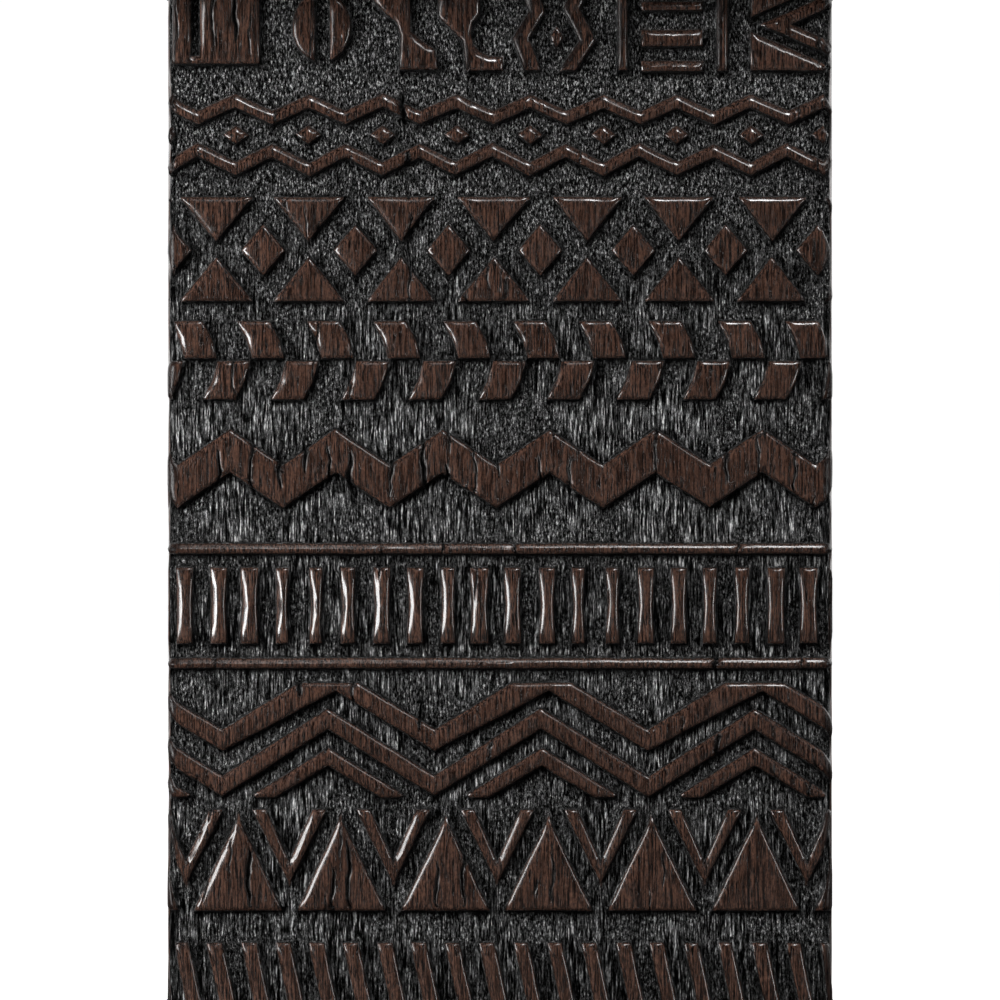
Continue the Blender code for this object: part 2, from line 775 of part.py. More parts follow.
def rounded_rectangle(length, depth, corner):
    points = []
    for quarter in range(4):
        side_x = 1 if quarter in (0, 3) else -1
        side_y = 1 if quarter in (0, 1) else -1
        for step in range(PLAN_STEPS + 1):
            a = math.radians(90 * (quarter + step / PLAN_STEPS))
            x = side_x * (length / 2 - corner) + corner * math.cos(a)
            y = side_y * (depth / 2 - corner) + corner * math.sin(a)
            points.append((x, y))
    return points


def loft(name, rings):
    """A closed solid through rings of (outline, level), from the lowest up."""
    bm = bmesh.new()
    made = [[bm.verts.new((x, y, level)) for x, y in outline] for outline, level in rings]
    for below, above in zip(made, made[1:]):
        for i in range(len(below)):
            j = (i + 1) % len(below)
            bm.faces.new((below[i], below[j], above[j], above[i]))
    bm.faces.new(made[0][::-1])
    bm.faces.new(made[-1])
    return finish(bm, name)


def make_base(mortise, peg_holes, material):
    top_length = COLLAR_LENGTH + 2 * BASE_TOP_MARGIN
    top_depth = COLLAR_DEPTH + 2 * BASE_TOP_MARGIN
    foot = 2 * BASE_CHAMFER
    outline = rounded_rectangle(BASE_LENGTH, BASE_DEPTH, BASE_CORNER)
    rings = [
        (rounded_rectangle(BASE_LENGTH - foot, BASE_DEPTH - foot, BASE_CORNER - BASE_CHAMFER), 0.0),
        (outline, BASE_CHAMFER),
        (outline, BASE_EDGE),
        (rounded_rectangle(top_length, top_depth, COLLAR_CORNER + BASE_TOP_MARGIN), BASE_THICKNESS),
    ]
    base = loft("base", rings)
    add_boolean(base, mortise, "DIFFERENCE")
    add_boolean(base, peg_holes, "DIFFERENCE")
    shade(base, material, SHARP_SLOPE)


def make_collar(name, bottom, mortise, material):
    """A flat collar round a tenon, with a half-round edge."""
    radius = COLLAR_THICKNESS / 2
    rings = []
    for step in range(COLLAR_STEPS + 1):
        a = math.radians(180 * step / COLLAR_STEPS - 90)
        bulge = radius * math.cos(a)
        length = COLLAR_LENGTH - 2 * radius + 2 * bulge
        depth = COLLAR_DEPTH - 2 * radius + 2 * bulge
        outline = rounded_rectangle(length, depth, COLLAR_CORNER - radius + bulge)
        rings.append((outline, bottom + radius + radius * math.sin(a)))
    collar = loft(name, rings)
    add_boolean(collar, mortise, "DIFFERENCE")
    shade(collar, material, SHARP_COLLAR)


def cradle_outline():
    """The cradle from the front: seat, slanted tips, and an underside that is flat over the abacus."""
    reach = CRADLE_LENGTH / 2 - CRADLE_TIP_SLANT - CRADLE_FLAT / 2
    rise = CRADLE_THICKNESS + CRADLE_RISE - CRADLE_TIP
    radius = (reach**2 + rise**2) / (2 * rise)
    sweep = 2 * math.atan(rise / reach)
    right = []
    for step in range(WING_STEPS + 1):
        a = sweep * step / WING_STEPS
        x = CRADLE_FLAT / 2 + radius * math.sin(a)
        right.append((x, CRADLE_BOTTOM + radius * (1 - math.cos(a))))
    left = [(-x, z) for x, z in right]
    return seat_line() + right[::-1] + left


def make_cradle(mortise, peg_holes, material):
    bm = extrude_outlines([cradle_outline()], -CRADLE_DEPTH / 2, CRADLE_DEPTH / 2)
    cradle = finish(bm, "cradle", stand_up())
    round_over(cradle, CRADLE_ROUNDING)
    add_boolean(cradle, mortise, "DIFFERENCE")
    add_boolean(cradle, peg_holes, "DIFFERENCE")
    shade(cradle, material)


def make_wedges(material):
    for level, upper in (("lower", False), ("upper", True)):
        for hand, side in (("left", -1), ("right", 1)):
            bm = extrude_outlines([wedge_outline(0)], -TENON_DEPTH / 2, TENON_DEPTH / 2)
            wedge = finish(bm, f"{level}_wedge_{hand}", place_wedge(upper, side))
            shade(wedge, material)


def make_pegs(material):
    places = (("base", BASE_PEG_LEVEL, BASE_DEPTH), ("cradle", CRADLE_PEG_LEVEL, CRADLE_DEPTH))
    for owner, level, depth in places:
        for hand, side in (("left", -1), ("right", 1)):
            bm = bmesh.new()
            add_rod(bm, side * PEG_PLACE, level, PEG_DIAMETER / 2, depth / 2 + PEG_PROUD)
            peg = finish(bm, f"{owner}_peg_{hand}")
            round_over(peg, PEG_DOME)
            shade(peg, material)


def build():
    clear_scene()
    above_seat = above_seat_cutter()
    mortise = mortise_cutter()
    peg_holes = peg_hole_cutter()
    kerfs = kerf_cutter()
    make_column(above_seat, kerfs, peg_holes, make_material("carved_wood", CARVED_WOOD, DARK_ROUGHNESS))
    make_base(mortise, peg_holes, make_material("base_wood", DARK_WOOD, DARK_ROUGHNESS))
    make_collar("plinth", PLINTH_BOTTOM, mortise, make_material("plinth_wood", DARK_WOOD, DARK_ROUGHNESS))
    make_collar("abacus", ABACUS_BOTTOM, mortise, make_material("abacus_wood", DARK_WOOD, DARK_ROUGHNESS))
    make_cradle(mortise, peg_holes, make_material("cradle_wood", WORN_WOOD, WORN_ROUGHNESS))
    make_wedges(make_material("wedge_wood", PEG_WOOD, PALE_ROUGHNESS))
    make_pegs(make_material("peg_wood", PEG_WOOD, PALE_ROUGHNESS))


build()
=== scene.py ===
"""The looks of the carved headrest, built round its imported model.

The column's carving is remade as one fine mesh. Its outlines are read from the column's node and unrolled
into a plane, where s runs to the right from the middle of the front and v runs up from the middle of the
column. The fine mesh gets soft shoulders, sloping walls, torn fibres and cracks there, and is then wrapped
round the column. The other pieces are close copies of their nodes with hand-cut surfaces. Lengths are in
millimetres until a mesh is made, unless a comment says otherwise.
"""

import math
import random

import bmesh
import bpy
import numpy as np
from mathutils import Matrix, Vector, noise
from mathutils.bvhtree import BVHTree
from mathutils.geometry import delaunay_2d_cdt


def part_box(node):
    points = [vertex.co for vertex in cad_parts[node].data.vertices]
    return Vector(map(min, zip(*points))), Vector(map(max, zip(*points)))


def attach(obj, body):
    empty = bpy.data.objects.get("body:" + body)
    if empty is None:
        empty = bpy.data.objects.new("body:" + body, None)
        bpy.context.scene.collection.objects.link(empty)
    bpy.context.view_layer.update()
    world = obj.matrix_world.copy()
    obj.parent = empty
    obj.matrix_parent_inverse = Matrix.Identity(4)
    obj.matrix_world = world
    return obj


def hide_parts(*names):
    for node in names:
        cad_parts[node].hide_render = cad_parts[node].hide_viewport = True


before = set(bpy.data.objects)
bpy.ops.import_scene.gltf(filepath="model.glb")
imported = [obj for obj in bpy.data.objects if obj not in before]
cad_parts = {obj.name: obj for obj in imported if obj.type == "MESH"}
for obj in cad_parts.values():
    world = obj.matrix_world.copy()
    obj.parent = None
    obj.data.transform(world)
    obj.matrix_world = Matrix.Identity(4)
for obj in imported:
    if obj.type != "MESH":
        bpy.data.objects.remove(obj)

MM = 0.001
TINY = 1e-12  # keeps a length of nothing from dividing by nothing
SAME = 0.01  # places closer than this are one place
LEVEL_SLACK = 0.05  # how far a point may be from a level that it belongs to
GAP = 0.3  # clearance between pieces in the frame
INSIDE_FACES = 1  # delaunay_2d_cdt's choice of only the triangles inside the given faces

# The column, as the frame has it
RELIEF = 0.95
CORNER = 1.25  # radius of its upright corners

# The carving's profile, from the ground up: distance inwards from an outline, and lift above the tops
# of a crisp shoulder and of a rubbed one
INWARDS = (-0.28, -0.15, -0.04, 0.06, 0.2, 0.36, 0.57, 0.9)
CRISP = (-0.95, -0.80, -0.33, -0.19, -0.085, -0.025, 0.0, 0.0)
RUBBED = (-0.95, -0.86, -0.62, -0.47, -0.37, -0.265, -0.14, 0.0)
FOOT = INWARDS[0]  # where a wall meets the ground
SHOULDER = INWARDS[-2]  # where a crisp top is level, and the last distance that gets a ring of points
HIGHEST = 0.05  # the lift's limit above the tops
DEEPEST = 0.25  # and below the ground

# Where edges are rubbed and dull. A pair is for the front's left and right, or for below and above levels
TOP_LEVELS = (34.0, 50.0)  # over these, left edges grow crisper and upper ones softer
LOW_LEVELS = (0.0, 34.0)
LEFT_RUBBED = (1.2, 0.25)  # share of the rubbed profile along left edges, at the front's left and right
LEFT_FALL = (1.0, 0.35)  # and what is left of it below and above TOP_LEVELS
UP_RUBBED = (0.45, 1.8)  # share along upper edges, below and above TOP_LEVELS
LEFT_DULLED = (0.0, 0.7)  # polish that left edges lack, at the front's left and right
TOP_DULLED = (0.0, 0.7)  # and below and above TOP_LEVELS
UP_DULLED = (0.4, 0.0)  # polish that upper edges lack, at the front's left and right
LOW_DULLED = (0.5, 0.0)  # and below and above LOW_LEVELS
SIDE_POLISH = 0.5  # of the front's, on the other three sides
CORNER_DULL = 0.6  # how far from a corner polish begins, in radii. It is full one radius farther
EVENING = 4  # rounds of evening out where one profile meets the other

# The ground along the foot of each wall: cut deeper, and painted dark as shade, most on the side away from
# the light
MOAT = 0.55  # its width
MOAT_DEPTH = 0.12
LIT_MOAT = 0.4  # share of the deeper cut and of the painted shade that walls facing the light keep
UNLIT = (0.5, -0.85)  # weights of the way to an edge, along s and v, on the side away from the light

# Where the tops' brown begins, and the shares that a millimetre of a crack's depth takes away: of the
# brown, of the polish, and of the ground's light, as painted shade
BROWN_REACH = 0.06  # outside a crisp outline
RUBBED_REACH = 0.08  # and this much farther outside a rubbed one
BROWN_FADE = 0.14
CRACK_BROWN = 6.0
CRACK_POLISH = 8.0
CRACK_PAINTED_SHADE = 4.0

# The fine mesh: spacing across and along the grain, on the front and on the other sides
FINE = (0.30, 0.95)
PLAIN = (0.62, 1.90)
SQUASH = FINE[1] / FINE[0]  # the mesh is cut with v squashed, so that its triangles run along the grain
JITTER = 0.3  # share of the spacing
RING_SPACING = 2.0  # times the spacing across the grain
RING_SLACK = 0.04  # how far a ring's points may stray from its distance before they are dropped
LONGEST_SIDE = 6.0  # an outline's longer sides are split, so that each part gets its own side's spacing
END_SPACING = 0.6
SEAM_SPACING = 0.9
SEAM_MARGIN = 0.3
END_MARGIN = 0.1
FIELD_OUTSIDE = 0.12  # how far the jittered points stay from the rings at a foot, and at a shoulder
FIELD_INSIDE = 0.05
MERGING = 0.03  # points this close become one when the plane is cut
CAP_MERGING = 1e-4  # and when its end faces are cut
SEWING = 0.002  # and when the column's skin is joined to its ends


def node_mesh(name):
    """A node's points in millimetres, and its triangles."""
    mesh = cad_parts[name].data
    mesh.calc_loop_triangles()
    points = np.empty(len(mesh.vertices) * 3, np.float32)
    mesh.vertices.foreach_get("co", points)
    triangles = np.empty(len(mesh.loop_triangles) * 3, np.int32)
    mesh.loop_triangles.foreach_get("vertices", triangles)
    return points.reshape(-1, 3).astype(float) / MM, triangles.reshape(-1, 3)


def node_box(name):
    """A node's low and high corners."""
    low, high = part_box(name)
    return np.array(low) / MM, np.array(high) / MM


# The column's size and levels
HALF_WIDTH, HALF_DEPTH, _ = node_box("carved_column")[1]
BOTTOM = node_box("plinth")[1][2] + GAP
TOP = node_box("abacus")[0][2] - GAP
MIDDLE = (BOTTOM + TOP) / 2
HALF_HEIGHT = (TOP - BOTTOM) / 2
PERIMETER = 4 * (HALF_WIDTH + HALF_DEPTH)
HALF_TURN = PERIMETER / 2


# Unrolling and wrapping

FLAT_X = HALF_WIDTH - CORNER
FLAT_Y = HALF_DEPTH - CORNER
SIDE = HALF_WIDTH + 2 * HALF_DEPTH  # s of the back's two corners
WRAP_S = np.array(
    [-HALF_TURN, -SIDE - CORNER, -SIDE + CORNER, -HALF_WIDTH - CORNER, -HALF_WIDTH + CORNER]
    + [HALF_WIDTH - CORNER, HALF_WIDTH + CORNER, SIDE - CORNER, SIDE + CORNER, HALF_TURN]
)
WRAP_X = FLAT_X * np.array([0, -1, -1, -1, -1, 1, 1, 1, 1, 0])
WRAP_Y = FLAT_Y * np.array([1, 1, 1, -1, -1, -1, -1, 1, 1, 1])
WRAP_TURN = np.radians([-270, -270, -180, -180, -90, -90, 0, 0, 90, 90])


def wrapped(s, v, lift):
    """Points in space for places on the unrolled sides, lift above the tops."""
    turn = np.interp(s, WRAP_S, WRAP_TURN)
    reach = CORNER + lift
    x = np.interp(s, WRAP_S, WRAP_X) + reach * np.cos(turn)
    y = np.interp(s, WRAP_S, WRAP_Y) + reach * np.sin(turn)
    return np.stack([x, y, MIDDLE + v], axis=1)


def unrolled(points):
    """(s, v) of points on the column, and how deep each lies below the tops."""
    x, y, z = points.T
    middle_x = np.clip(x, -FLAT_X, FLAT_X)
    middle_y = np.clip(y, -FLAT_Y, FLAT_Y)
    out_x = x - middle_x
    out_y = y - middle_y
    turn = np.arctan2(out_y, out_x)
    flat_y = np.abs(out_x) < SAME
    flat_x = np.abs(out_y) < SAME
    on_front = flat_y & (out_y < 0)
    on_back = flat_y & (out_y > 0)
    on_right = flat_x & (out_x > 0)
    on_left = flat_x & (out_x < 0)
    s = np.where(on_front, x, 0.0)
    s = np.where(on_back, np.where(x > 0, HALF_TURN - x, -HALF_TURN - x), s)
    s = np.where(on_right, HALF_WIDTH + HALF_DEPTH + y, s)
    s = np.where(on_left, -HALF_WIDTH - HALF_DEPTH - y, s)
    corner = ~(flat_x | flat_y)
    right = out_x > 0
    back = out_y > 0
    start = np.where(back, np.where(right, 0.0, np.pi / 2), np.where(right, -np.pi / 2, -np.pi))
    part = (turn - start) / (np.pi / 2)
    place = np.where(back, SIDE, HALF_WIDTH) * np.where(right, 1, -1)
    s = np.where(corner, place + CORNER * (2 * part - 1), s)
    return np.stack([s, z - MIDDLE], axis=1), CORNER - np.hypot(out_x, out_y)


def nearer(difference):
    """A difference of two s, the short way round."""
    return (difference + HALF_TURN) % PERIMETER - HALF_TURN


# Reading the carving

STRAIGHT = 0.02  # sine of the largest bend that counts as straight
MITRE = 0.4  # keeps a mitre from running far out at a sharp corner
SEAM_REACH = 3.0  # sides this far past the seam still count as near it


def tops_of_carving():
    """The column's raised triangles, each as three (s, v)."""
    points, triangles = node_mesh("carved_column")
    corners = points[triangles]
    normal = np.cross(corners[:, 1] - corners[:, 0], corners[:, 2] - corners[:, 0])
    normal /= np.linalg.norm(normal, axis=1, keepdims=True) + TINY
    places, depth = unrolled(points)
    raised = (depth[triangles] < RELIEF / 2).all(axis=1) & (np.abs(normal[:, 2]) < 0.5)
    places = places[triangles[raised]]
    across = places[:, :, 0] - places[:, :1, 0]
    places[:, :, 0] = places[:, :1, 0] + nearer(across)
    return places


def key(place):
    """The same name for two places that are one."""
    s, v = place
    return round((s % PERIMETER) / SAME) % round(PERIMETER / SAME), round(v / SAME)


def outlines_of(tops):
    """Closed chains of (s, v) round the raised shapes, with the shape on the left."""
    edges = {}
    for triangle in tops:
        for i in range(3):
            a, b = triangle[i], triangle[(i + 1) % 3]
            edges[key(a), key(b)] = a, b
    leaving = {}
    for (start, end), (a, b) in edges.items():
        if (end, start) not in edges and start != end:
            leaving.setdefault(start, []).append((end, a))
    chains = []
    while leaving:
        start = next(iter(leaving))
        here = start
        chain = []
        while here in leaving:
            end, place = leaving[here].pop()
            if not leaving[here]:
                del leaving[here]
            chain.append(place)
            here = end
        if len(chain) > 2:
            chains.append(np.array(chain))
    return chains


def straightened(chain):
    """The chain without the points that lie along a straight stretch."""
    before = chain - np.roll(chain, 1, axis=0)
    after = np.roll(chain, -1, axis=0) - chain
    for step in (before, after):
        step[:, 0] = nearer(step[:, 0])
        step /= np.linalg.norm(step, axis=1, keepdims=True) + TINY
    bend = np.abs(before[:, 0] * after[:, 1] - before[:, 1] * after[:, 0])
    kept = (bend > STRAIGHT) | ((before * after).sum(axis=1) < 0)
    return chain[kept] if kept.sum() > 2 else chain


def offset_segments(chain, inwards):
    """The chain's sides moved sideways, as (start, end) pairs that meet at mitred corners."""
    step = np.roll(chain, -1, axis=0) - chain
    step[:, 0] = nearer(step[:, 0])
    along = step / (np.linalg.norm(step, axis=1, keepdims=True) + TINY)
    left = np.stack([-along[:, 1], along[:, 0]], axis=1)
    previous = np.roll(left, 1, axis=0)
    both = left + previous
    square = np.maximum((both**2).sum(axis=1, keepdims=True), MITRE)
    moved = 2 * inwards * both / square
    starts = chain + moved
    ends = chain + step + np.roll(moved, -1, axis=0)
    return starts, ends


# Signed distance from the outlines


class Carving:
    """Where the raised shapes are on the unrolled sides."""

    def __init__(self):
        self.tops = tops_of_carving()
        self.chains = [straightened(chain) for chain in outlines_of(self.tops)]
        corners = []
        faces = []
        for triangle in self.tops:
            for turn in (-PERIMETER, 0, PERIMETER):
                if abs(triangle[0][0] + turn) < HALF_TURN + HALF_WIDTH:
                    faces.append(range(len(corners), len(corners) + 3))
                    corners += [(s + turn, v, 0.0) for s, v in triangle]
        self.covered = BVHTree.FromPolygons(corners, [list(face) for face in faces])
        corners = []
        faces = []
        for chain in self.chains:
            starts, ends = offset_segments(chain, 0.0)
            for a, b in zip(starts, ends):
                for turn in (-PERIMETER, 0, PERIMETER):
                    if min(abs(a[0] + turn), abs(b[0] + turn)) < HALF_TURN + SEAM_REACH:
                        first = len(corners)
                        faces.append([first, first + 1, first + 2, first + 3])
                        for (s, v), level in ((a, -1), (b, -1), (b, 1), (a, 1)):
                            corners.append((s + turn, v, level))
        self.edges = BVHTree.FromPolygons(corners, faces)

    def distance(self, places):
        """How far each (s, v) is inside a raised shape, negative outside, and its edge's outward way."""
        found = np.empty(len(places))
        towards = np.zeros((len(places), 2))
        down = Vector((0, 0, -1))
        for i, (s, v) in enumerate(places.tolist()):
            edge, _, _, away = self.edges.find_nearest((s, v, 0.0))
            inside = self.covered.ray_cast((s, v, 1.0), down)[0] is not None
            found[i] = away if inside else -away
            if away > 0:
                towards[i] = (edge[0] - s) / found[i], (edge[1] - v) / found[i]
        return found, towards


# Cracks: each is (s, upper end, lower end, half width, depth)

FRONT_CRACKS = (
    (-38.8, 60.5, 55.0, 0.07, 0.3), (-34.5, 61.5, 54.0, 0.12, 0.4), (-31.8, 61.5, 54.5, 0.30, 0.8),
    (-11.6, 50.0, 43.0, 0.35, 0.9), (-11.2, 42.0, 36.0, 0.45, 0.9), (-10.9, 35.0, 23.5, 0.16, 0.7),
    (-33.8, 6.5, 1.5, 0.18, 0.6), (-29.9, 7.0, 1.0, 0.18, 0.6), (-26.4, 7.5, 1.0, 0.28, 0.8),
    (-23.5, 8.0, 3.0, 0.26, 0.7), (-20.6, 7.0, 1.0, 0.16, 0.5), (-18.0, 6.0, -0.5, 0.34, 0.9),
    (-13.0, 8.5, 2.0, 0.26, 0.8), (-9.2, 7.0, 0.0, 0.34, 0.9), (-6.5, 5.0, 0.0, 0.18, 0.6),
    (-3.0, 6.5, 0.5, 0.12, 0.4), (-0.3, 7.5, 2.5, 0.12, 0.4), (4.7, 6.0, -0.5, 0.12, 0.5),
    (8.5, 5.5, 0.5, 0.10, 0.4), (18.7, 7.5, 3.0, 0.12, 0.4), (27.2, 6.5, 1.5, 0.16, 0.7),
    (31.0, 8.0, 2.0, 0.10, 0.4), (35.3, 6.0, 1.0, 0.12, 0.5),
    (-30.2, -41.5, -49.0, 0.30, 0.8), (-20.1, -44.0, -49.4, 0.22, 0.7), (-18.2, -40.5, -49.4, 0.26, 0.8),
    (-7.6, -43.0, -49.0, 0.16, 0.6), (-4.4, -41.0, -49.0, 0.20, 0.7), (4.3, -45.0, -48.0, 0.12, 0.5),
    (6.3, -42.0, -49.0, 0.14, 0.5), (19.6, -42.0, -47.0, 0.10, 0.4),
    (-24.2, -21.5, -24.0, 0.25, 0.6), (-9.5, -22.5, -28.0, 0.18, 0.6), (26.0, -28.0, -31.0, 0.30, 0.7),
    (26.0, -18.8, -20.4, 0.30, 0.6),
)  # fmt: skip
SIDE_CRACKS = 150
FRONT_FINE_CRACKS = 90
SIDE_HALVES = (0.08, 0.24)  # least and greatest half width
FRONT_HALVES = (0.06, 0.11)
CRACK_LENGTHS = (2.0, 6.5)
CRACK_ENDS = (8.0, 2.0)  # upper ends stay this far above the bottom and below the top
CRACK_DEPTH = 2.6  # of a strewn crack, in half widths
CRACK_CLEAR = 1.5  # how far cracks stay from the seam
CRACK_WAVES = ((0.16, 9.0, 1.1), (0.08, 3.0, 2.7))  # each is (reach, turn by s, turn by v)
CRACK_STRAY = 1.0  # more than a crack's middle and half width reach to either side of its s
CRACK_STEP = 0.8
CRACK_RIM = 0.25  # how far beside a crack the polish is lost


def all_cracks():
    """The front's known cracks, and many small ones strewn over every side."""
    draw = random.Random("cracks")
    cracks = list(FRONT_CRACKS)
    for number in range(SIDE_CRACKS + FRONT_FINE_CRACKS):
        if number < SIDE_CRACKS:
            s = HALF_WIDTH + draw.uniform(0, PERIMETER - 2 * HALF_WIDTH)
            s = float(nearer(np.float64(s)))
            half = draw.uniform(*SIDE_HALVES)
        else:
            s = draw.uniform(-HALF_WIDTH, HALF_WIDTH)
            half = draw.uniform(*FRONT_HALVES)
        high = draw.uniform(-HALF_HEIGHT + CRACK_ENDS[0], HALF_HEIGHT - CRACK_ENDS[1])
        length = draw.uniform(*CRACK_LENGTHS)
        cracks.append((s, high, high - length, half, CRACK_DEPTH * half))
    return [crack for crack in cracks if abs(abs(crack[0]) - HALF_TURN) > CRACK_CLEAR]


def crack_shape(crack, v):
    """The crack's middle and half width at levels v."""
    s, high, low, half, _ = crack
    part = np.clip((high - v) / (high - low), 0, 1)
    middle = s + sum(reach * np.sin(by_s * s + by_v * v) for reach, by_s, by_v in CRACK_WAVES)
    width = half * np.sin(np.pi * part) ** 0.6
    return middle, width


def crack_lines(crack):
    """Its middle and both sides, as chains of points for the mesh."""
    _, high, low, _, _ = crack
    steps = max(3, round((high - low) / CRACK_STEP))
    v = np.linspace(high, low, steps + 1)
    middle, width = crack_shape(crack, v)
    lines = [np.stack([middle, v], axis=1)]
    for side in (-1, 1):
        lines.append(np.stack([middle + side * width, v], axis=1)[1:-1])
    return lines


def crack_depth(cracks, places, rim=0.0):
    """How deep the cracks cut at each place, were they wider by a rim on each side."""
    depth = np.zeros(len(places))
    s, v = places.T
    order = np.argsort(v)
    levels = v[order]
    for crack in cracks:
        _, high, low, half, deep = crack
        near = order[np.searchsorted(levels, low) : np.searchsorted(levels, high)]
        near = near[np.abs(s[near] - crack[0]) < CRACK_STRAY]
        middle, width = crack_shape(crack, v[near])
        part = 1 - np.abs(s[near] - middle) / np.maximum(width + rim, 1e-6)
        depth[near] = np.maximum(depth[near], deep * np.clip(part * 1.3, 0, 1) * (width / half))
    return depth


# The fine mesh of the carving


def noise_at(points, scale, shift=0.0):
    """Smooth noise between -1 and 1 at each point, with one length of scale for each axis."""
    spread = (points / np.array(scale) + shift).tolist()
    return np.fromiter((noise.noise(point) for point in spread), float, len(spread))


def spacing_at(s):
    """The fine mesh's spacing across the grain."""
    on_front = np.abs(s) < HALF_WIDTH + 1
    return np.where(on_front, FINE[0], PLAIN[0])


class Plane:
    """Points and edges to cut the unrolled plane by."""

    def __init__(self):
        self.points = []
        self.edges = []
        self.count = 0

    def add_chain(self, places, kept=None):
        """Places joined one to the next, apart from those that aren't kept."""
        kept = np.ones(len(places), bool) if kept is None else kept
        number = np.cumsum(kept) - 1 + self.count
        self.points.append(places[kept])
        self.count += int(kept.sum())
        for i in np.flatnonzero(kept[1:] & kept[:-1]):
            self.edges.append((int(number[i]), int(number[i + 1])))


def within(places):
    """True away from the seam and the column's ends."""
    s, v = places.T
    return (np.abs(s) < HALF_TURN - SEAM_MARGIN) & (np.abs(v) < HALF_HEIGHT - END_MARGIN)


def ring_row(start, end, number):
    """Points along one side of a ring, or None for a ring that only the front gets."""
    step = end - start
    spacing = float(spacing_at((start[0] + end[0]) / 2))
    if spacing > FINE[0] and number % 2:
        return None
    long = math.hypot(step[0], step[1] / SQUASH)
    count = max(1, round(long / (RING_SPACING * spacing)))
    return start + np.linspace(0, 1, count + 1)[:, None] * step


def add_rings(plane, carving):
    """Rows of points along every outline, at each distance of the profile."""
    for number, inwards in enumerate(INWARDS[:-1]):
        rows = []
        for chain in carving.chains:
            for a, b in zip(*offset_segments(chain, inwards)):
                long = np.linalg.norm(b - a)
                if long < SAME:
                    continue
                parts = np.linspace(a, b, math.ceil(long / LONGEST_SIDE) + 1)
                for start, end in zip(parts, parts[1:]):
                    for turn in (-PERIMETER, 0, PERIMETER):
                        shift = np.array([turn, 0.0])
                        if abs((start[0] + end[0]) / 2 + turn) < HALF_TURN + LONGEST_SIDE:
                            rows.append(ring_row(start + shift, end + shift, number))
        rows = [row for row in rows if row is not None]
        every = np.concatenate(rows)
        away, _ = carving.distance(every)
        kept = within(every) & (np.abs(away - inwards) < RING_SLACK)
        at = 0
        for row in rows:
            plane.add_chain(row, kept[at : at + len(row)])
            at += len(row)


def add_frame(plane):
    """The strip's four sides, with the same levels on both sides of the seam."""
    across = np.linspace(-HALF_TURN, HALF_TURN, round(PERIMETER / END_SPACING) + 1)
    up = np.linspace(-HALF_HEIGHT, HALF_HEIGHT, round(2 * HALF_HEIGHT / SEAM_SPACING) + 1)
    for v in (-HALF_HEIGHT, HALF_HEIGHT):
        plane.add_chain(np.stack([across, np.full(len(across), v)], axis=1))
    for s in (-HALF_TURN, HALF_TURN):
        plane.add_chain(np.stack([np.full(len(up), s), up], axis=1))


def add_field(plane, carving, cracks):
    """Jittered rows of points between the rings, close on the front and wider elsewhere."""
    draw = np.random.default_rng(7)
    for low, high, (across, up) in (
        (-HALF_WIDTH - CORNER, HALF_WIDTH + CORNER, FINE),
        (-HALF_TURN, -HALF_WIDTH - CORNER, PLAIN),
        (HALF_WIDTH + CORNER, HALF_TURN, PLAIN),
    ):
        s, v = np.meshgrid(
            np.arange(low + across / 2, high, across),
            np.arange(-HALF_HEIGHT + up / 2, HALF_HEIGHT, up),
        )
        v = v + np.where(np.arange(s.shape[1]) % 2, up / 2, 0)
        places = np.stack([s.ravel(), v.ravel()], axis=1)
        places += draw.uniform(-JITTER, JITTER, places.shape) * (across, up)
        away, _ = carving.distance(places)
        free = (away < FOOT - FIELD_OUTSIDE) | (away > SHOULDER + FIELD_INSIDE)
        free &= within(places) & (crack_depth(cracks, places) <= 0)
        plane.points.append(places[free])
        plane.count += int(free.sum())


def cut_plane(carving, cracks):
    """The fine mesh on the unrolled plane: its places, and its triangles."""
    plane = Plane()
    add_frame(plane)
    add_rings(plane, carving)
    for crack in cracks:
        for line in crack_lines(crack):
            plane.add_chain(line, within(line))
    add_field(plane, carving, cracks)
    points = np.concatenate(plane.points)
    flat = [Vector((s, v / SQUASH)) for s, v in points.tolist()]
    made = delaunay_2d_cdt(flat, plane.edges, [], 0, MERGING)
    places = np.array([(p.x, p.y * SQUASH) for p in made[0]])
    return places, np.array(made[2])


FRONT = (-HALF_WIDTH, HALF_WIDTH)
WOBBLE = ((0.07, (3.4, 3.4, 3.4)), (0.03, (1.1, 1.1, 1.1)))
WOBBLE_FREE = (0.2, 2.2)  # distances from the ends and the seam over which it sets in
GROUND_ROUGHNESS = (
    (0.055, (0.42, 0.42, 3.2)),
    (0.075, (0.9, 0.9, 4.5)),
    (0.060, (1.6, 1.6, 2.2)),
    (0.035, (0.6, 0.6, 0.9)),
)
TOP_ROUGHNESS = ((0.006, (0.6, 0.6, 6.0)), (0.022, (2.8, 2.8, 6.0)))


def layered(points, layers):
    """Noise in layers, each with its height and its length along each axis."""
    return sum(size * noise_at(points, scale, 10.0 * i) for i, (size, scale) in enumerate(layers))


def evened(values, faces):
    """Values averaged with their neighbours' over the mesh."""
    ends = np.concatenate([faces[:, [0, 1]], faces[:, [1, 2]], faces[:, [2, 0]]])
    here, there = np.concatenate([ends, ends[:, ::-1]]).T
    count = np.maximum(np.bincount(here, minlength=len(values)), 1)
    for _ in range(EVENING):
        around = np.bincount(here, weights=values[there], minlength=len(values)) / count
        values = (values + around) / 2
    return values


def rubbing(places, towards, faces):
    """The share of the rubbed profile at each place: most along left edges, some along upper ones."""
    s, v = places.T
    left = np.clip(-towards[:, 0], 0, 1) ** 2 * np.interp(s, FRONT, LEFT_RUBBED)
    left *= np.interp(v, TOP_LEVELS, LEFT_FALL)
    up = np.clip(towards[:, 1], 0, 1) ** 2 * np.interp(v, TOP_LEVELS, UP_RUBBED)
    share = np.clip(evened(np.maximum(left, up), faces), 0, 1)
    return share * np.clip(HALF_TURN - np.abs(s), 0, 1)


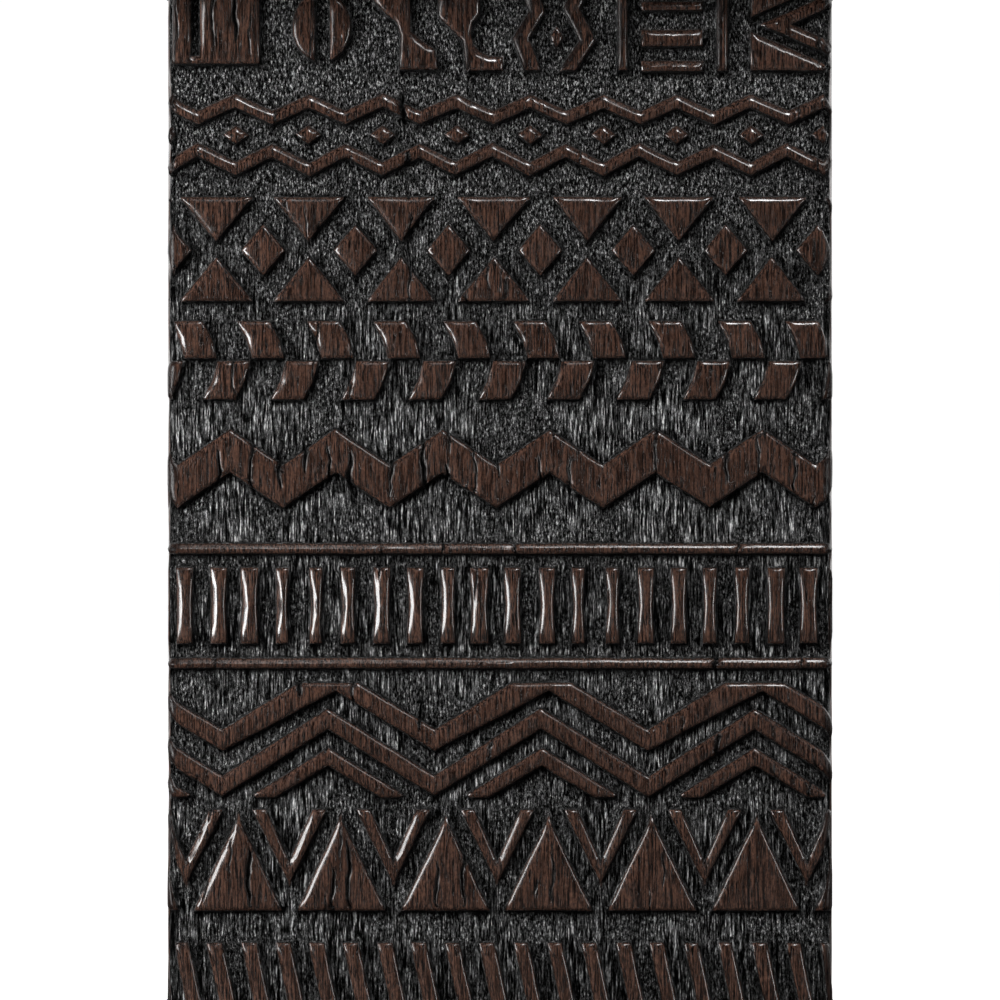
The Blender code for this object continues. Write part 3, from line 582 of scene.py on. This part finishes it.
def polish_near_edges(places, towards):
    """The share of polish that each place keeps, given the way to its nearest edge."""
    s, v = places.T
    left = np.clip(-towards[:, 0], 0, 1)
    up = np.clip(towards[:, 1], 0, 1)
    lost = left * (np.interp(s, FRONT, LEFT_DULLED) + np.interp(v, TOP_LEVELS, TOP_DULLED))
    lost += up * (np.interp(s, FRONT, UP_DULLED) + np.interp(v, LOW_LEVELS, LOW_DULLED))
    return np.clip(1 - lost, 0, 1)


def carving_heights(carving, cracks, places, faces):
    """Lift of each place above the tops, how raised its surface is, how polished, and how much painted
    shade its colour gets.
    """
    away, towards = carving.distance(places)
    rubbed = rubbing(places, towards, faces)
    profile = (1 - rubbed) * np.interp(away, INWARDS, CRISP)
    profile += rubbed * np.interp(away, INWARDS, RUBBED)
    rise = 1 + profile / RELIEF
    points = wrapped(places[:, 0], places[:, 1], 0.0)
    cracked = crack_depth(cracks, places)
    ground = layered(points, GROUND_ROUGHNESS)
    top = layered(points, TOP_ROUGHNESS)
    unlit = np.clip(UNLIT[0] * towards[:, 0] + UNLIT[1] * towards[:, 1], 0, 1)
    # painted shade: the ground's colour darkens along each wall's foot, most on the side away from the
    # light
    shade = np.clip(1 + (away - FOOT) / MOAT, 0, 1) * (LIT_MOAT + (1 - LIT_MOAT) * unlit)
    lift = (ground - RELIEF - MOAT_DEPTH * shade) * (1 - rise) + top * rise
    lift = np.clip(lift - cracked, -RELIEF - DEEPEST, HIGHEST)
    raised = np.clip((away + BROWN_REACH + RUBBED_REACH * rubbed) / BROWN_FADE, 0, 1)
    # inside cracks the tops lose their brown and take the ground's black, part of painting the cracks dark
    # as shade
    raised *= np.clip(1 - CRACK_BROWN * cracked, 0, 1)
    s = np.abs(places[:, 0])
    from_corner = np.minimum(np.abs(s - HALF_WIDTH), np.abs(s - SIDE))
    polish = np.clip(from_corner / CORNER - CORNER_DULL, 0, 1) * np.where(s < HALF_WIDTH, 1, SIDE_POLISH)
    polish *= np.clip(1 - CRACK_POLISH * crack_depth(cracks, places, CRACK_RIM), 0, 1)
    polish *= polish_near_edges(places, towards)
    # painted shade: cracks darken the ground's colour as if in shadow
    shade = np.maximum(shade, np.clip(CRACK_PAINTED_SHADE * cracked, 0, 1))
    return lift, raised, polish, shade


def shifted(places):
    """Places strayed a little, as a hand-held tool leaves them, but not at the ends or the seam."""
    points = wrapped(places[:, 0], places[:, 1], 0.0)
    s, v = places.T
    room = np.minimum(HALF_HEIGHT - np.abs(v), HALF_TURN - np.abs(s))
    free = np.interp(room, WOBBLE_FREE, (0, 1))
    stray_s = layered(points, WOBBLE)
    stray_v = layered(points + 50.0, WOBBLE)
    return places + np.stack([stray_s * free, stray_v * free], axis=1)


def tenon_mesh():
    """The column's tenons, from its node: points and triangles inside the tenons' plan."""
    points, triangles = node_mesh("carved_column")
    inner = (np.abs(points[:, 0]) < HALF_WIDTH / 2 + SAME) & (np.abs(points[:, 1]) < HALF_DEPTH / 2)
    return points, triangles[inner[triangles].all(axis=1)]


def open_loop(points, triangles, level):
    """The open edge of some triangles at one level, as a chain of points."""
    chain = {}
    names = {}
    spots = [tuple(np.round(p / SAME).astype(int)) for p in points]
    edges = set()
    for triangle in triangles:
        for i in range(3):
            edges.add((spots[triangle[i]], spots[triangle[(i + 1) % 3]]))
            names[spots[triangle[i]]] = points[triangle[i]]
    for a, b in edges:
        on_level = all(abs(names[spot][2] - level) < LEVEL_SLACK for spot in (a, b))
        if on_level and (b, a) not in edges:
            chain[a] = b
    start = next(iter(chain))
    loop = [start]
    while chain[loop[-1]] != start:
        loop.append(chain[loop[-1]])
    return [names[spot] for spot in loop]


def cap_triangles(outer, inner, up):
    """Triangles between two loops at one level, as (points, triangles)."""
    points = outer + inner
    flat = [Vector((p[0], p[1])) for p in points]
    first = len(outer)
    edges = [(first + i, first + (i + 1) % len(inner)) for i in range(len(inner))]
    made = delaunay_2d_cdt(flat, edges, [list(range(first))], INSIDE_FACES, CAP_MERGING)
    level = points[0][2]
    corners = [(p.x, p.y, level) for p in made[0]]
    xs = [p[0] for p in inner]
    ys = [p[1] for p in inner]
    faces = []
    for face in made[2]:
        middle = np.mean([corners[i] for i in face], axis=0)
        if min(xs) < middle[0] < max(xs) and min(ys) < middle[1] < max(ys):
            continue
        faces.append(list(face) if up else list(face)[::-1])
    return corners, faces


def make_object(name, points, faces):
    """An object from points in millimetres."""
    mesh = bpy.data.meshes.new(name)
    mesh.from_pydata([tuple(p) for p in np.asarray(points) * MM], [], faces)
    mesh.validate()
    obj = bpy.data.objects.new(name, mesh)
    bpy.context.scene.collection.objects.link(obj)
    return obj


def set_attribute(mesh, name, values):
    """A number for each point, for the material to read."""
    mesh.attributes.new(name, "FLOAT", "POINT").data.foreach_set("value", values)


def sew(mesh, smooth_faces):
    """Join the skin, its caps and the tenons where they meet, with only the first faces shaded smooth."""
    bm = bmesh.new()
    bm.from_mesh(mesh)
    bm.faces.ensure_lookup_table()
    for face in bm.faces:
        face.smooth = face.index < smooth_faces
    bmesh.ops.remove_doubles(bm, verts=bm.verts, dist=SEWING * MM)
    loose = [vert for vert in bm.verts if not vert.link_faces]
    bmesh.ops.delete(bm, geom=loose, context="VERTS")
    bm.to_mesh(mesh)
    bm.free()


def make_column():
    """The carved skin wrapped round the column, with its end faces and its tenons."""
    carving = Carving()
    cracks = all_cracks()
    places, faces = cut_plane(carving, cracks)
    lift, raised, polish, shade = carving_heights(carving, cracks, places, faces)
    moved = shifted(places)
    skin = wrapped(moved[:, 0], moved[:, 1], lift)

    points = [tuple(p) for p in skin]
    triangles = [list(face) for face in faces]
    attributes = {"raised": list(raised), "polish": list(polish), "shade": list(shade)}
    tenon_points, tenon_faces = tenon_mesh()
    for level, v in ((BOTTOM, -HALF_HEIGHT), (TOP, HALF_HEIGHT)):
        rim = np.flatnonzero(np.abs(places[:, 1] - v) < SAME)
        rim = rim[np.argsort(places[rim, 0])][:-1]
        outer = [tuple(skin[i]) for i in rim]
        inner = [tuple(p) for p in open_loop(tenon_points, tenon_faces, level)]
        corners, caps = cap_triangles(outer, inner, v > 0)
        triangles += [[i + len(points) for i in face] for face in caps]
        points += corners
        for values in attributes.values():
            values += [0.0] * len(corners)
    triangles += (tenon_faces + len(points)).tolist()
    points += tenon_points.tolist()
    for name, tenon_value in (("raised", 1.0), ("polish", 1.0), ("shade", 0.0)):
        attributes[name] += [tenon_value] * len(tenon_points)

    obj = make_object("column_carving", points, triangles)
    for name, values in attributes.items():
        set_attribute(obj.data, name, values)
    sew(obj.data, len(faces))
    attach(obj, "root")
    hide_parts("carved_column")
    return obj


# The other pieces


def remeshed(name, voxel, smoothing):
    """A node's shape in even faces: (mesh with rounded edges, its points, the points before rounding)."""
    obj = bpy.data.objects.new("copy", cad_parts[name].data)
    bpy.context.scene.collection.objects.link(obj)
    remesh = obj.modifiers.new("remesh", "REMESH")
    remesh.mode = "VOXEL"
    remesh.voxel_size = voxel * MM
    smooth = obj.modifiers.new("smooth", "SMOOTH")
    smooth.factor = 0.5
    meshes = []
    for repeats in (0, smoothing):
        smooth.iterations = repeats
        graph = bpy.context.evaluated_depsgraph_get()
        meshes.append(bpy.data.meshes.new_from_object(obj.evaluated_get(graph)))
    sharp, rounded = (points_of(mesh) for mesh in meshes)
    bpy.data.objects.remove(obj)
    bpy.data.meshes.remove(meshes[0])
    return meshes[1], rounded, sharp


def points_of(mesh):
    """A mesh's points in millimetres."""
    points = np.empty(len(mesh.vertices) * 3, np.float32)
    mesh.vertices.foreach_get("co", points)
    return points.reshape(-1, 3).astype(float) / MM


def normals_of(mesh):
    normals = np.empty(len(mesh.vertices) * 3, np.float32)
    mesh.vertex_normals.foreach_get("vector", normals)
    return normals.reshape(-1, 3).astype(float)


CUT_REACH = 0.85  # from the middle of a gouge cut to its rim, in sizes of a facet


def scoops(points, facet):
    """Hollows left by a gouge: 1 at the middle of each cut and 0 along the ridges between cuts."""
    found = [noise.voronoi(point)[0][0] for point in (points / np.array(facet)).tolist()]
    return np.clip(1 - (np.array(found) / CUT_REACH) ** 2, 0, 1)


COLLAR = node_box("plinth")[1]
CLOSING = 0.12  # how far a face swells where two pieces meet, to close the frame's clearance
COLUMN_CLOSING = 0.28  # and where a piece meets the column, which doesn't swell
SNUG = 0.18  # how far a peg or a wedge swells in its hole
LEVEL_NORMALS = (0.90, 0.98)  # z of a normal: not level at all, and level
SEAT_CUT = 0.2  # share of the gouge cuts that the rubbed seat keeps

# How each kind of piece is cut. A facet is the size of a gouge cut along each axis, depth is its depth, and
# ripples are layers of raised grain. The voxel is the size of the mesh's faces.
LENGTHWISE = ((0.035, (26.0, 1.5, 1.5)), (0.020, (12.0, 0.8, 0.8)), (0.06, (30.0, 9.0, 9.0)))
UPRIGHT = ((0.02, (0.8, 0.8, 8.0)),)
CROSSWISE = ((0.02, (0.8, 8.0, 0.8)),)
BOARD = dict(voxel=0.6, facet=(12.0, 8.0, 8.0), depth=0.40, ripples=LENGTHWISE)
RIM = dict(voxel=0.5, smoothing=3, facet=(8.0, 8.0, 5.0), depth=0.22, ripples=LENGTHWISE)
WEDGE = dict(voxel=0.25, smoothing=2, facet=(3.0, 3.0, 6.0), depth=0.03, ripples=UPRIGHT, swell=SNUG)
PEG = dict(voxel=0.3, smoothing=2, facet=(1.6, 8.0, 1.6), depth=0.05, ripples=CROSSWISE, swell=SNUG)


def mating_share(points, normals, way):
    """1 on the level faces round the tenons that face up (way 1) or down (-1), where two pieces meet."""
    x, y, _ = np.abs(points).T
    room = np.minimum(COLLAR[0] - x, COLLAR[1] - y)
    return np.clip(room, 0, 1) * np.interp(normals[:, 2] * way, LEVEL_NORMALS, (0, 1))


def hand_carved(name, slot, look, voxel, smoothing, facet, depth, ripples, swell=0, seat=False, mating=()):
    """A close copy of a node with soft edges, gouge cuts and raised grain."""
    mesh, points, sharp = remeshed(name, voxel, smoothing)
    normals = normals_of(mesh)
    worn = ((sharp - points) * normals).sum(axis=1) / voxel
    polish = np.clip(normals[:, 2], 0, 1) ** 2 if seat else np.zeros(len(points))
    cut = depth * scoops(points, facet) * (1 - (1 - SEAT_CUT) * polish)
    cut += np.clip(layered(points, ripples) + sum(size for size, _ in ripples) / 2, 0, None)
    for way, closing in mating:
        share = mating_share(points, normals, way)
        cut = cut * (1 - share) - closing * share
    points -= normals * (cut - swell)[:, None]
    points[:, 2] = np.maximum(points[:, 2], 0)
    mesh.vertices.foreach_set("co", (points * MM).astype(np.float32).ravel())
    set_attribute(mesh, "worn", worn)
    set_attribute(mesh, "polish", polish)
    mesh.shade_smooth()
    mesh.materials.clear()
    mesh.materials.append(look)
    obj = bpy.data.objects.new(name + "_carved", mesh)
    bpy.context.scene.collection.objects.link(obj)
    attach(obj, "root")
    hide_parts(name)


def make_boards():
    """The base, the cradle and the two collars between them and the column."""
    look = handled_wood("board_look", 0, DARK_WOOD)
    below_column = ((-1, CLOSING), (1, COLUMN_CLOSING))
    above_column = ((-1, COLUMN_CLOSING), (1, CLOSING))
    hand_carved("base", "base_wood", look, smoothing=6, mating=((1, CLOSING),), **BOARD)
    hand_carved("plinth", "plinth_wood", look, mating=below_column, **RIM)
    hand_carved("abacus", "abacus_wood", look, mating=above_column, **RIM)
    hand_carved("cradle", "cradle_wood", look, smoothing=5, mating=((-1, CLOSING),), seat=True, **BOARD)


def make_fastenings():
    """The wedges that spread the tenons, and the pegs through them."""
    wedge_look = handled_wood("wedge_look", 2, PALE_WOOD)
    peg_look = handled_wood("peg_look", 1, PALE_WOOD)
    for hand in ("left", "right"):
        for level in ("lower", "upper"):
            hand_carved(f"{level}_wedge_{hand}", "wedge_wood", wedge_look, **WEDGE)
        for owner in ("base", "cradle"):
            hand_carved(f"{owner}_peg_{hand}", "peg_wood", peg_look, **PEG)


# Materials

# The dark and pale figure of a handled piece, and its bare wood where it is rubbed
DARK_WOOD = ((0.010, 0.0052, 0.0042), (0.092, 0.045, 0.030), (0.185, 0.096, 0.060))
PALE_WOOD = ((0.034, 0.018, 0.012), (0.130, 0.073, 0.045), (0.230, 0.140, 0.090))
# what the handled pieces darken to in their concave creases
HOLLOW_DARK = (0.004, 0.0032, 0.003)

# The column's brown tops
STREAK_DARK = (0.008, 0.0042, 0.0032)
STREAK_PALE = (0.172, 0.086, 0.059)
BROAD_BROWN = (0.090, 0.045, 0.031)
SPECK_BROWN = (0.004, 0.002, 0.0016)
PORE_BROWN = (0.002, 0.0012, 0.001)
# painted shade: the tops darken to this where polish is nearly nil, along cracks, at the upright corners
# and on the dulled edges
PAINTED_SHADE_BROWN = (0.004, 0.003, 0.003)

# Its blackened ground, with painted gleams on its fibres and painted glints
# the ground's black stain, which is also the colour that the painted shade darkens towards
STAIN_BLACK_AND_SHADE = (0.0006, 0.0006, 0.0006)
PAINTED_FIBRE_GLEAM = (0.43, 0.43, 0.43)
PAINTED_GLINT = (1.0, 1.0, 1.0)
FINER_LEVELS = (0.100, 0.130)  # over these heights in metres, torn fibres give way to specks

# The studio: what the camera sees, and what the object feels
WHITE = (1.0, 1.0, 1.0)
FLOOR_SEEN = (0.6, 0.6, 0.6)
FLOOR_FELT = (0.1, 0.1, 0.1)
FLOOR_GLOW = 0.8
WORLD_SEEN = 1.05
WORLD_FELT = 0.015


class Nodes:
    """Short names for making a material's nodes."""

    def __init__(self, name):
        self.material = bpy.data.materials.new(name)
        self.material.use_nodes = True
        self.tree = self.material.node_tree
        self.shader = self.tree.nodes["Principled BSDF"]

    def add(self, kind, settings=None, **inputs):
        node = self.tree.nodes.new("ShaderNode" + kind)
        for name, value in (settings or {}).items():
            setattr(node, name, value)
        for name, value in inputs.items():
            self.put(node.inputs[name.replace("_", " ")], value)
        return node

    def put(self, socket, value):
        """Link another node's socket, or set a value."""
        if isinstance(value, bpy.types.NodeSocket):
            self.tree.links.new(value, socket)
        else:
            socket.default_value = value

    def grain(self, scale, detail=3.0, roughness=0.6):
        """Noise in the object's own space, with a length in millimetres for each axis."""
        place = self.add("TexCoord").outputs["Object"]
        stretched = self.add("Mapping", Vector=place)
        stretched.inputs["Scale"].default_value = [1 / (MM * length) for length in scale]
        texture = self.add("TexNoise", Vector=stretched.outputs[0], Scale=1.0)
        texture.inputs["Detail"].default_value = detail
        texture.inputs["Roughness"].default_value = roughness
        return texture.outputs[0]

    def attribute(self, name):
        """A number that the mesh holds for each point."""
        return self.add("Attribute", {"attribute_name": name}).outputs["Fac"]

    def ramp(self, value, low, high, start=0.0, end=1.0):
        """value spread from low..high to start..end."""
        node = self.add("MapRange", {"interpolation_type": "SMOOTHSTEP"})
        for name, number in (("From Min", low), ("From Max", high), ("To Min", start), ("To Max", end)):
            node.inputs[name].default_value = number
        self.put(node.inputs["Value"], value)
        return node.outputs["Result"]

    def math(self, operation, a, b):
        node = self.add("Math", {"operation": operation})
        self.put(node.inputs[0], a)
        self.put(node.inputs[1], b)
        return node.outputs[0]

    def blend(self, part, a, b):
        """Number a where part is 0, b where it is 1."""
        node = self.add("Mix", {"data_type": "FLOAT"})
        for place, value in zip((0, 2, 3), (part, a, b)):
            self.put(node.inputs[place], value)
        return node.outputs[0]

    def mix(self, part, a, b):
        """Colour a where part is 0, b where it is 1."""
        node = self.add("Mix", {"data_type": "RGBA"})
        self.put(node.inputs[0], part)
        for socket, value in ((node.inputs[6], a), (node.inputs[7], b)):
            self.put(socket, value if isinstance(value, bpy.types.NodeSocket) else (*value, 1.0))
        return node.outputs[2]

    def bump(self, height, distance):
        """A normal from heights, where a height of 1 is distance millimetres."""
        return self.add("Bump", Height=height, Distance=distance * MM).outputs["Normal"]

    def finish(self, **inputs):
        """The material, with values or sockets for the shader's inputs."""
        for name, value in inputs.items():
            self.put(self.shader.inputs[name.replace("_", " ")], value)
        return self.material


def carved_brown(nodes, streaks, specks, pore):
    """The colour of the polished tops."""
    broad = nodes.grain((9.0, 9.0, 30.0), 2.0)
    brown = nodes.mix(nodes.ramp(streaks, 0.38, 0.64), STREAK_DARK, STREAK_PALE)
    brown = nodes.mix(nodes.ramp(broad, 0.38, 0.66, 0.0, 0.35), brown, BROAD_BROWN)
    brown = nodes.mix(nodes.ramp(specks, 0.36, 0.60, 0.75, 0.0), brown, SPECK_BROWN)
    return nodes.mix(nodes.math("MULTIPLY", pore, 0.9), brown, PORE_BROWN)


def torn_fibres(nodes, specks):
    """Height of the torn ground: fibres and patches of specks, with more specks higher up."""
    fibres = nodes.grain((0.21, 0.21, 2.2), 4.0, 0.75)
    patches = nodes.grain((5.0, 5.0, 7.0), 2.0)
    level = nodes.add("SeparateXYZ", Vector=nodes.add("TexCoord").outputs["Object"]).outputs["Z"]
    torn = nodes.blend(nodes.ramp(patches, 0.42, 0.62, 0.15, 0.7), fibres, specks)
    return nodes.blend(nodes.ramp(level, *FINER_LEVELS, 0.0, 0.8), torn, specks)


def ground_black(nodes, torn, shade):
    """The colour of the ground: black stain, painted grey gleams where a fibre would catch the light,
    painted white glints, and painted shade.
    """
    # painted highlight: grey where a fibre would catch the light
    lit = nodes.math("POWER", nodes.ramp(torn, 0.39, 0.66), 2.7)
    black = nodes.mix(lit, STAIN_BLACK_AND_SHADE, PAINTED_FIBRE_GLEAM)
    # painted glints: white specks
    black = nodes.mix(nodes.ramp(torn, 0.575, 0.635), black, PAINTED_GLINT)
    # painted shade: shaded places darken towards the stain's black
    return nodes.mix(nodes.ramp(shade, 0.0, 1.0, 0.0, 0.85), black, STAIN_BLACK_AND_SHADE)


def carved_wood():
    """Brown polished tops over a blackened ground of torn fibres."""
    nodes = Nodes("carved_wood_look")
    polish = nodes.attribute("polish")
    streaks = nodes.grain((0.24, 0.24, 4.5), 4.0, 0.75)
    specks = nodes.grain((0.20, 0.20, 0.50), 4.0, 0.8)
    pore = nodes.ramp(nodes.grain((0.15, 0.15, 1.8), 1.0), 0.55, 0.64)
    torn = torn_fibres(nodes, specks)

    edge = nodes.math("ADD", nodes.attribute("raised"), nodes.math("MULTIPLY", streaks, 0.3))
    on_top = nodes.ramp(edge, 0.45, 1.0)
    # painted shade: the brown darkens where polish falls below a fifth
    painted_shade_unpolished = nodes.math("SUBTRACT", 1.0, nodes.ramp(polish, 0.0, 0.2))
    brown = carved_brown(nodes, streaks, specks, pore)
    brown = nodes.mix(nodes.math("MULTIPLY", painted_shade_unpolished, 0.8), brown, PAINTED_SHADE_BROWN)
    black = ground_black(nodes, torn, nodes.attribute("shade"))

    ground_rough = nodes.ramp(specks, 0.3, 0.7, 0.26, 0.44)
    top_rough = nodes.ramp(streaks, 0.35, 0.65, 0.22, 0.34)
    ground_height = nodes.math("MULTIPLY", torn, 4.0)
    top_height = nodes.math("MULTIPLY", streaks, 0.22)
    height = nodes.blend(on_top, ground_height, top_height)
    height = nodes.math("SUBTRACT", height, nodes.math("MULTIPLY", pore, 0.35))
    # painted shade: in the ground's hollows, metallic over the near-black stain takes away all reflection,
    # as if occluded
    hollow = nodes.math("SUBTRACT", 1.0, nodes.ramp(torn, 0.48, 0.62))
    return nodes.finish(
        Base_Color=nodes.mix(on_top, black, brown),
        Roughness=nodes.blend(on_top, ground_rough, top_rough),
        Normal=nodes.bump(height, 0.10),
        Metallic=nodes.blend(on_top, hollow, 0.0),
        Specular_IOR_Level=0.25,
        Coat_Weight=nodes.math("MULTIPLY", on_top, polish),
        Coat_Roughness=0.14,
        Coat_IOR=1.6,
    )


def handled_wood(name, along, colours):
    """Stained wood with its grain along one axis, polished by hands and rubbed through at its edges."""
    dark, pale, bare = colours
    nodes = Nodes(name)

    def lengths(across, length):
        return [length if axis == along else across for axis in range(3)]

    worn = nodes.attribute("worn")
    polish = nodes.attribute("polish")
    broad = nodes.grain(lengths(6.0, 48.0), 3.0)
    bands = nodes.grain(lengths(1.5, 40.0), 3.0, 0.7)
    streaks = nodes.grain(lengths(0.45, 10.0), 4.0, 0.7)
    fine = nodes.grain(lengths(0.15, 2.6), 3.0, 0.7)
    pore = nodes.ramp(nodes.grain(lengths(0.18, 2.2), 1.0), 0.59, 0.67)
    blotches = nodes.grain((11.0, 11.0, 11.0), 4.0)

    figure = nodes.blend(0.45, streaks, bands)
    colour = nodes.mix(nodes.ramp(figure, 0.40, 0.60), dark, pale)
    colour = nodes.mix(nodes.ramp(broad, 0.40, 0.64, 0.0, 0.6), colour, [0.9 * c for c in dark])
    patchy = nodes.math("MULTIPLY", nodes.math("SUBTRACT", blotches, 0.5), 0.9)
    edges = nodes.math("MULTIPLY", nodes.ramp(nodes.math("ADD", worn, patchy), 0.12, 0.75), 0.75)
    held = nodes.ramp(nodes.math("ADD", polish, patchy), 0.35, 1.05)
    rubbed = nodes.math("MAXIMUM", edges, nodes.math("MULTIPLY", held, 0.5))
    through = nodes.math("MULTIPLY", rubbed, nodes.ramp(fine, 0.25, 0.6, 0.5, 1.0))
    colour = nodes.mix(through, colour, bare)
    # darker in concave creases, where smoothing pushed the surface outwards
    darker_in_hollows = nodes.ramp(nodes.math("MULTIPLY", worn, -1.0), 0.10, 0.60, 0.0, 0.85)
    colour = nodes.mix(darker_in_hollows, colour, HOLLOW_DARK)
    colour = nodes.mix(nodes.math("MULTIPLY", pore, 0.75), colour, [0.2 * c for c in dark])

    dull = nodes.ramp(blotches, 0.35, 0.65, 0.30, 0.46)
    shiny = nodes.ramp(fine, 0.3, 0.7, 0.20, 0.30)
    height = nodes.math("ADD", nodes.math("MULTIPLY", streaks, 0.6), nodes.math("MULTIPLY", fine, 0.5))
    height = nodes.math("SUBTRACT", height, nodes.math("MULTIPLY", pore, 0.9))
    return nodes.finish(
        Base_Color=colour,
        Roughness=nodes.blend(nodes.math("MAXIMUM", rubbed, held), dull, shiny),
        Normal=nodes.bump(height, 0.09),
        Specular_IOR_Level=0.35,
        Coat_Weight=0.3,
        Coat_Roughness=0.15,
    )


def floor_material():
    """A floor that the camera sees pale, and that throws little light back at the object."""
    nodes = Nodes("floor_look")
    ray = nodes.add("LightPath").outputs["Is Camera Ray"]
    return nodes.finish(
        Base_Color=nodes.mix(ray, FLOOR_FELT, FLOOR_SEEN),
        Emission_Color=(*WHITE, 1.0),
        Emission_Strength=nodes.math("MULTIPLY", ray, FLOOR_GLOW),
        Roughness=0.9,
        Specular_IOR_Level=0.1,
    )


# The studio, with places and sizes in metres but for the lens

CENTRE = (0, 0, MIDDLE * MM)
VIEW_SIDE = 0.120  # what the picture takes in at the plane of the front's tops
LENS = 150.0  # in millimetres, as is the sensor's width
SENSOR = 36.0
FLOOR_REACH = 6.0
SUN = (0.18, -0.62, 1.0)  # the way to it
SUN_POWER = 1.3
SUN_SIZE = math.radians(14)
ONLY_COLUMN = "left"  # this lamp lights the column alone, since it would leave a glare on the base
# Each lamp is a rectangle that faces the column's middle: place, size across and up, power in watts
LAMPS = {
    "left": ((-0.22, -0.12, 0.10), (0.07, 0.16), 0.62),
    "upper_right": ((0.36, -0.45, 0.71), (0.15, 0.15), 0.65),
    "right": ((0.34, -0.22, 0.09), (0.035, 0.18), 0.24),
    "side_right": ((0.90, 0.35, 0.45), (0.50, 0.50), 3.9),
    "behind_left": ((-0.90, 1.00, 0.40), (1.20, 0.80), 5.5),
    "behind_right": ((0.90, 1.10, 0.35), (1.00, 0.70), 4.0),
}


def aim(obj, target):
    """Turn a camera or a light towards a place."""
    direction = Vector(target) - obj.location
    obj.rotation_euler = direction.to_track_quat("-Z", "Y").to_euler()


def place_light(data, place, target):
    light = bpy.data.objects.new(data.name, data)
    bpy.context.scene.collection.objects.link(light)
    light.location = place
    aim(light, target)
    return light


def make_sun():
    data = bpy.data.lights.new("overhead", "SUN")
    data.energy = SUN_POWER
    data.angle = SUN_SIZE
    place_light(data, SUN, (0, 0, 0))


def light_only(light, obj):
    """Keep a light off everything but one object."""
    lit = bpy.data.collections.new(light.name + "_lights")
    lit.objects.link(obj)
    light.light_linking.receiver_collection = lit


def make_lamps(column):
    """The rectangular lights round the object."""
    for name, (place, size, power) in LAMPS.items():
        data = bpy.data.lights.new(name, "AREA")
        data.shape = "RECTANGLE"
        data.size, data.size_y = size
        data.energy = power
        light = place_light(data, place, CENTRE)
        light.visible_camera = False
        if name == ONLY_COLUMN:
            light_only(light, column)


def make_floor():
    reach = FLOOR_REACH / MM
    corners = [(-reach, -reach, 0), (reach, -reach, 0), (reach, reach, 0), (-reach, reach, 0)]
    floor = make_object("floor", corners, [[0, 1, 2, 3]])
    floor.data.materials.append(floor_material())


def make_world():
    """White to the camera, and nearly dark to everything else."""
    world = bpy.data.worlds.new("studio")
    bpy.context.scene.world = world
    world.use_nodes = True
    tree = world.node_tree
    seen = tree.nodes["Background"]
    felt = tree.nodes.new("ShaderNodeBackground")
    for background, strength in ((seen, WORLD_SEEN), (felt, WORLD_FELT)):
        background.inputs["Color"].default_value = (*WHITE, 1.0)
        background.inputs["Strength"].default_value = strength
    ray = tree.nodes.new("ShaderNodeLightPath")
    mix = tree.nodes.new("ShaderNodeMixShader")
    tree.links.new(ray.outputs["Is Camera Ray"], mix.inputs[0])
    tree.links.new(felt.outputs[0], mix.inputs[1])
    tree.links.new(seen.outputs[0], mix.inputs[2])
    tree.links.new(mix.outputs[0], tree.nodes["World Output"].inputs["Surface"])


def make_camera():
    """A long lens square to the front."""
    data = bpy.data.cameras.new("camera")
    data.lens = LENS
    data.sensor_width = SENSOR
    camera = bpy.data.objects.new("camera", data)
    bpy.context.scene.collection.objects.link(camera)
    away = VIEW_SIDE * LENS / SENSOR
    camera.location = (0, -HALF_DEPTH * MM - away, MIDDLE * MM)
    aim(camera, CENTRE)
    bpy.context.scene.camera = camera


def make_stage(column):
    make_floor()
    make_world()
    make_sun()
    make_lamps(column)
    make_camera()
    bpy.context.scene.view_settings.view_transform = "Standard"
    bpy.context.scene.view_settings.look = "None"


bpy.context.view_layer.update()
column = make_column()
column.data.materials.append(carved_wood())
make_boards()
make_fastenings()
make_stage(column)
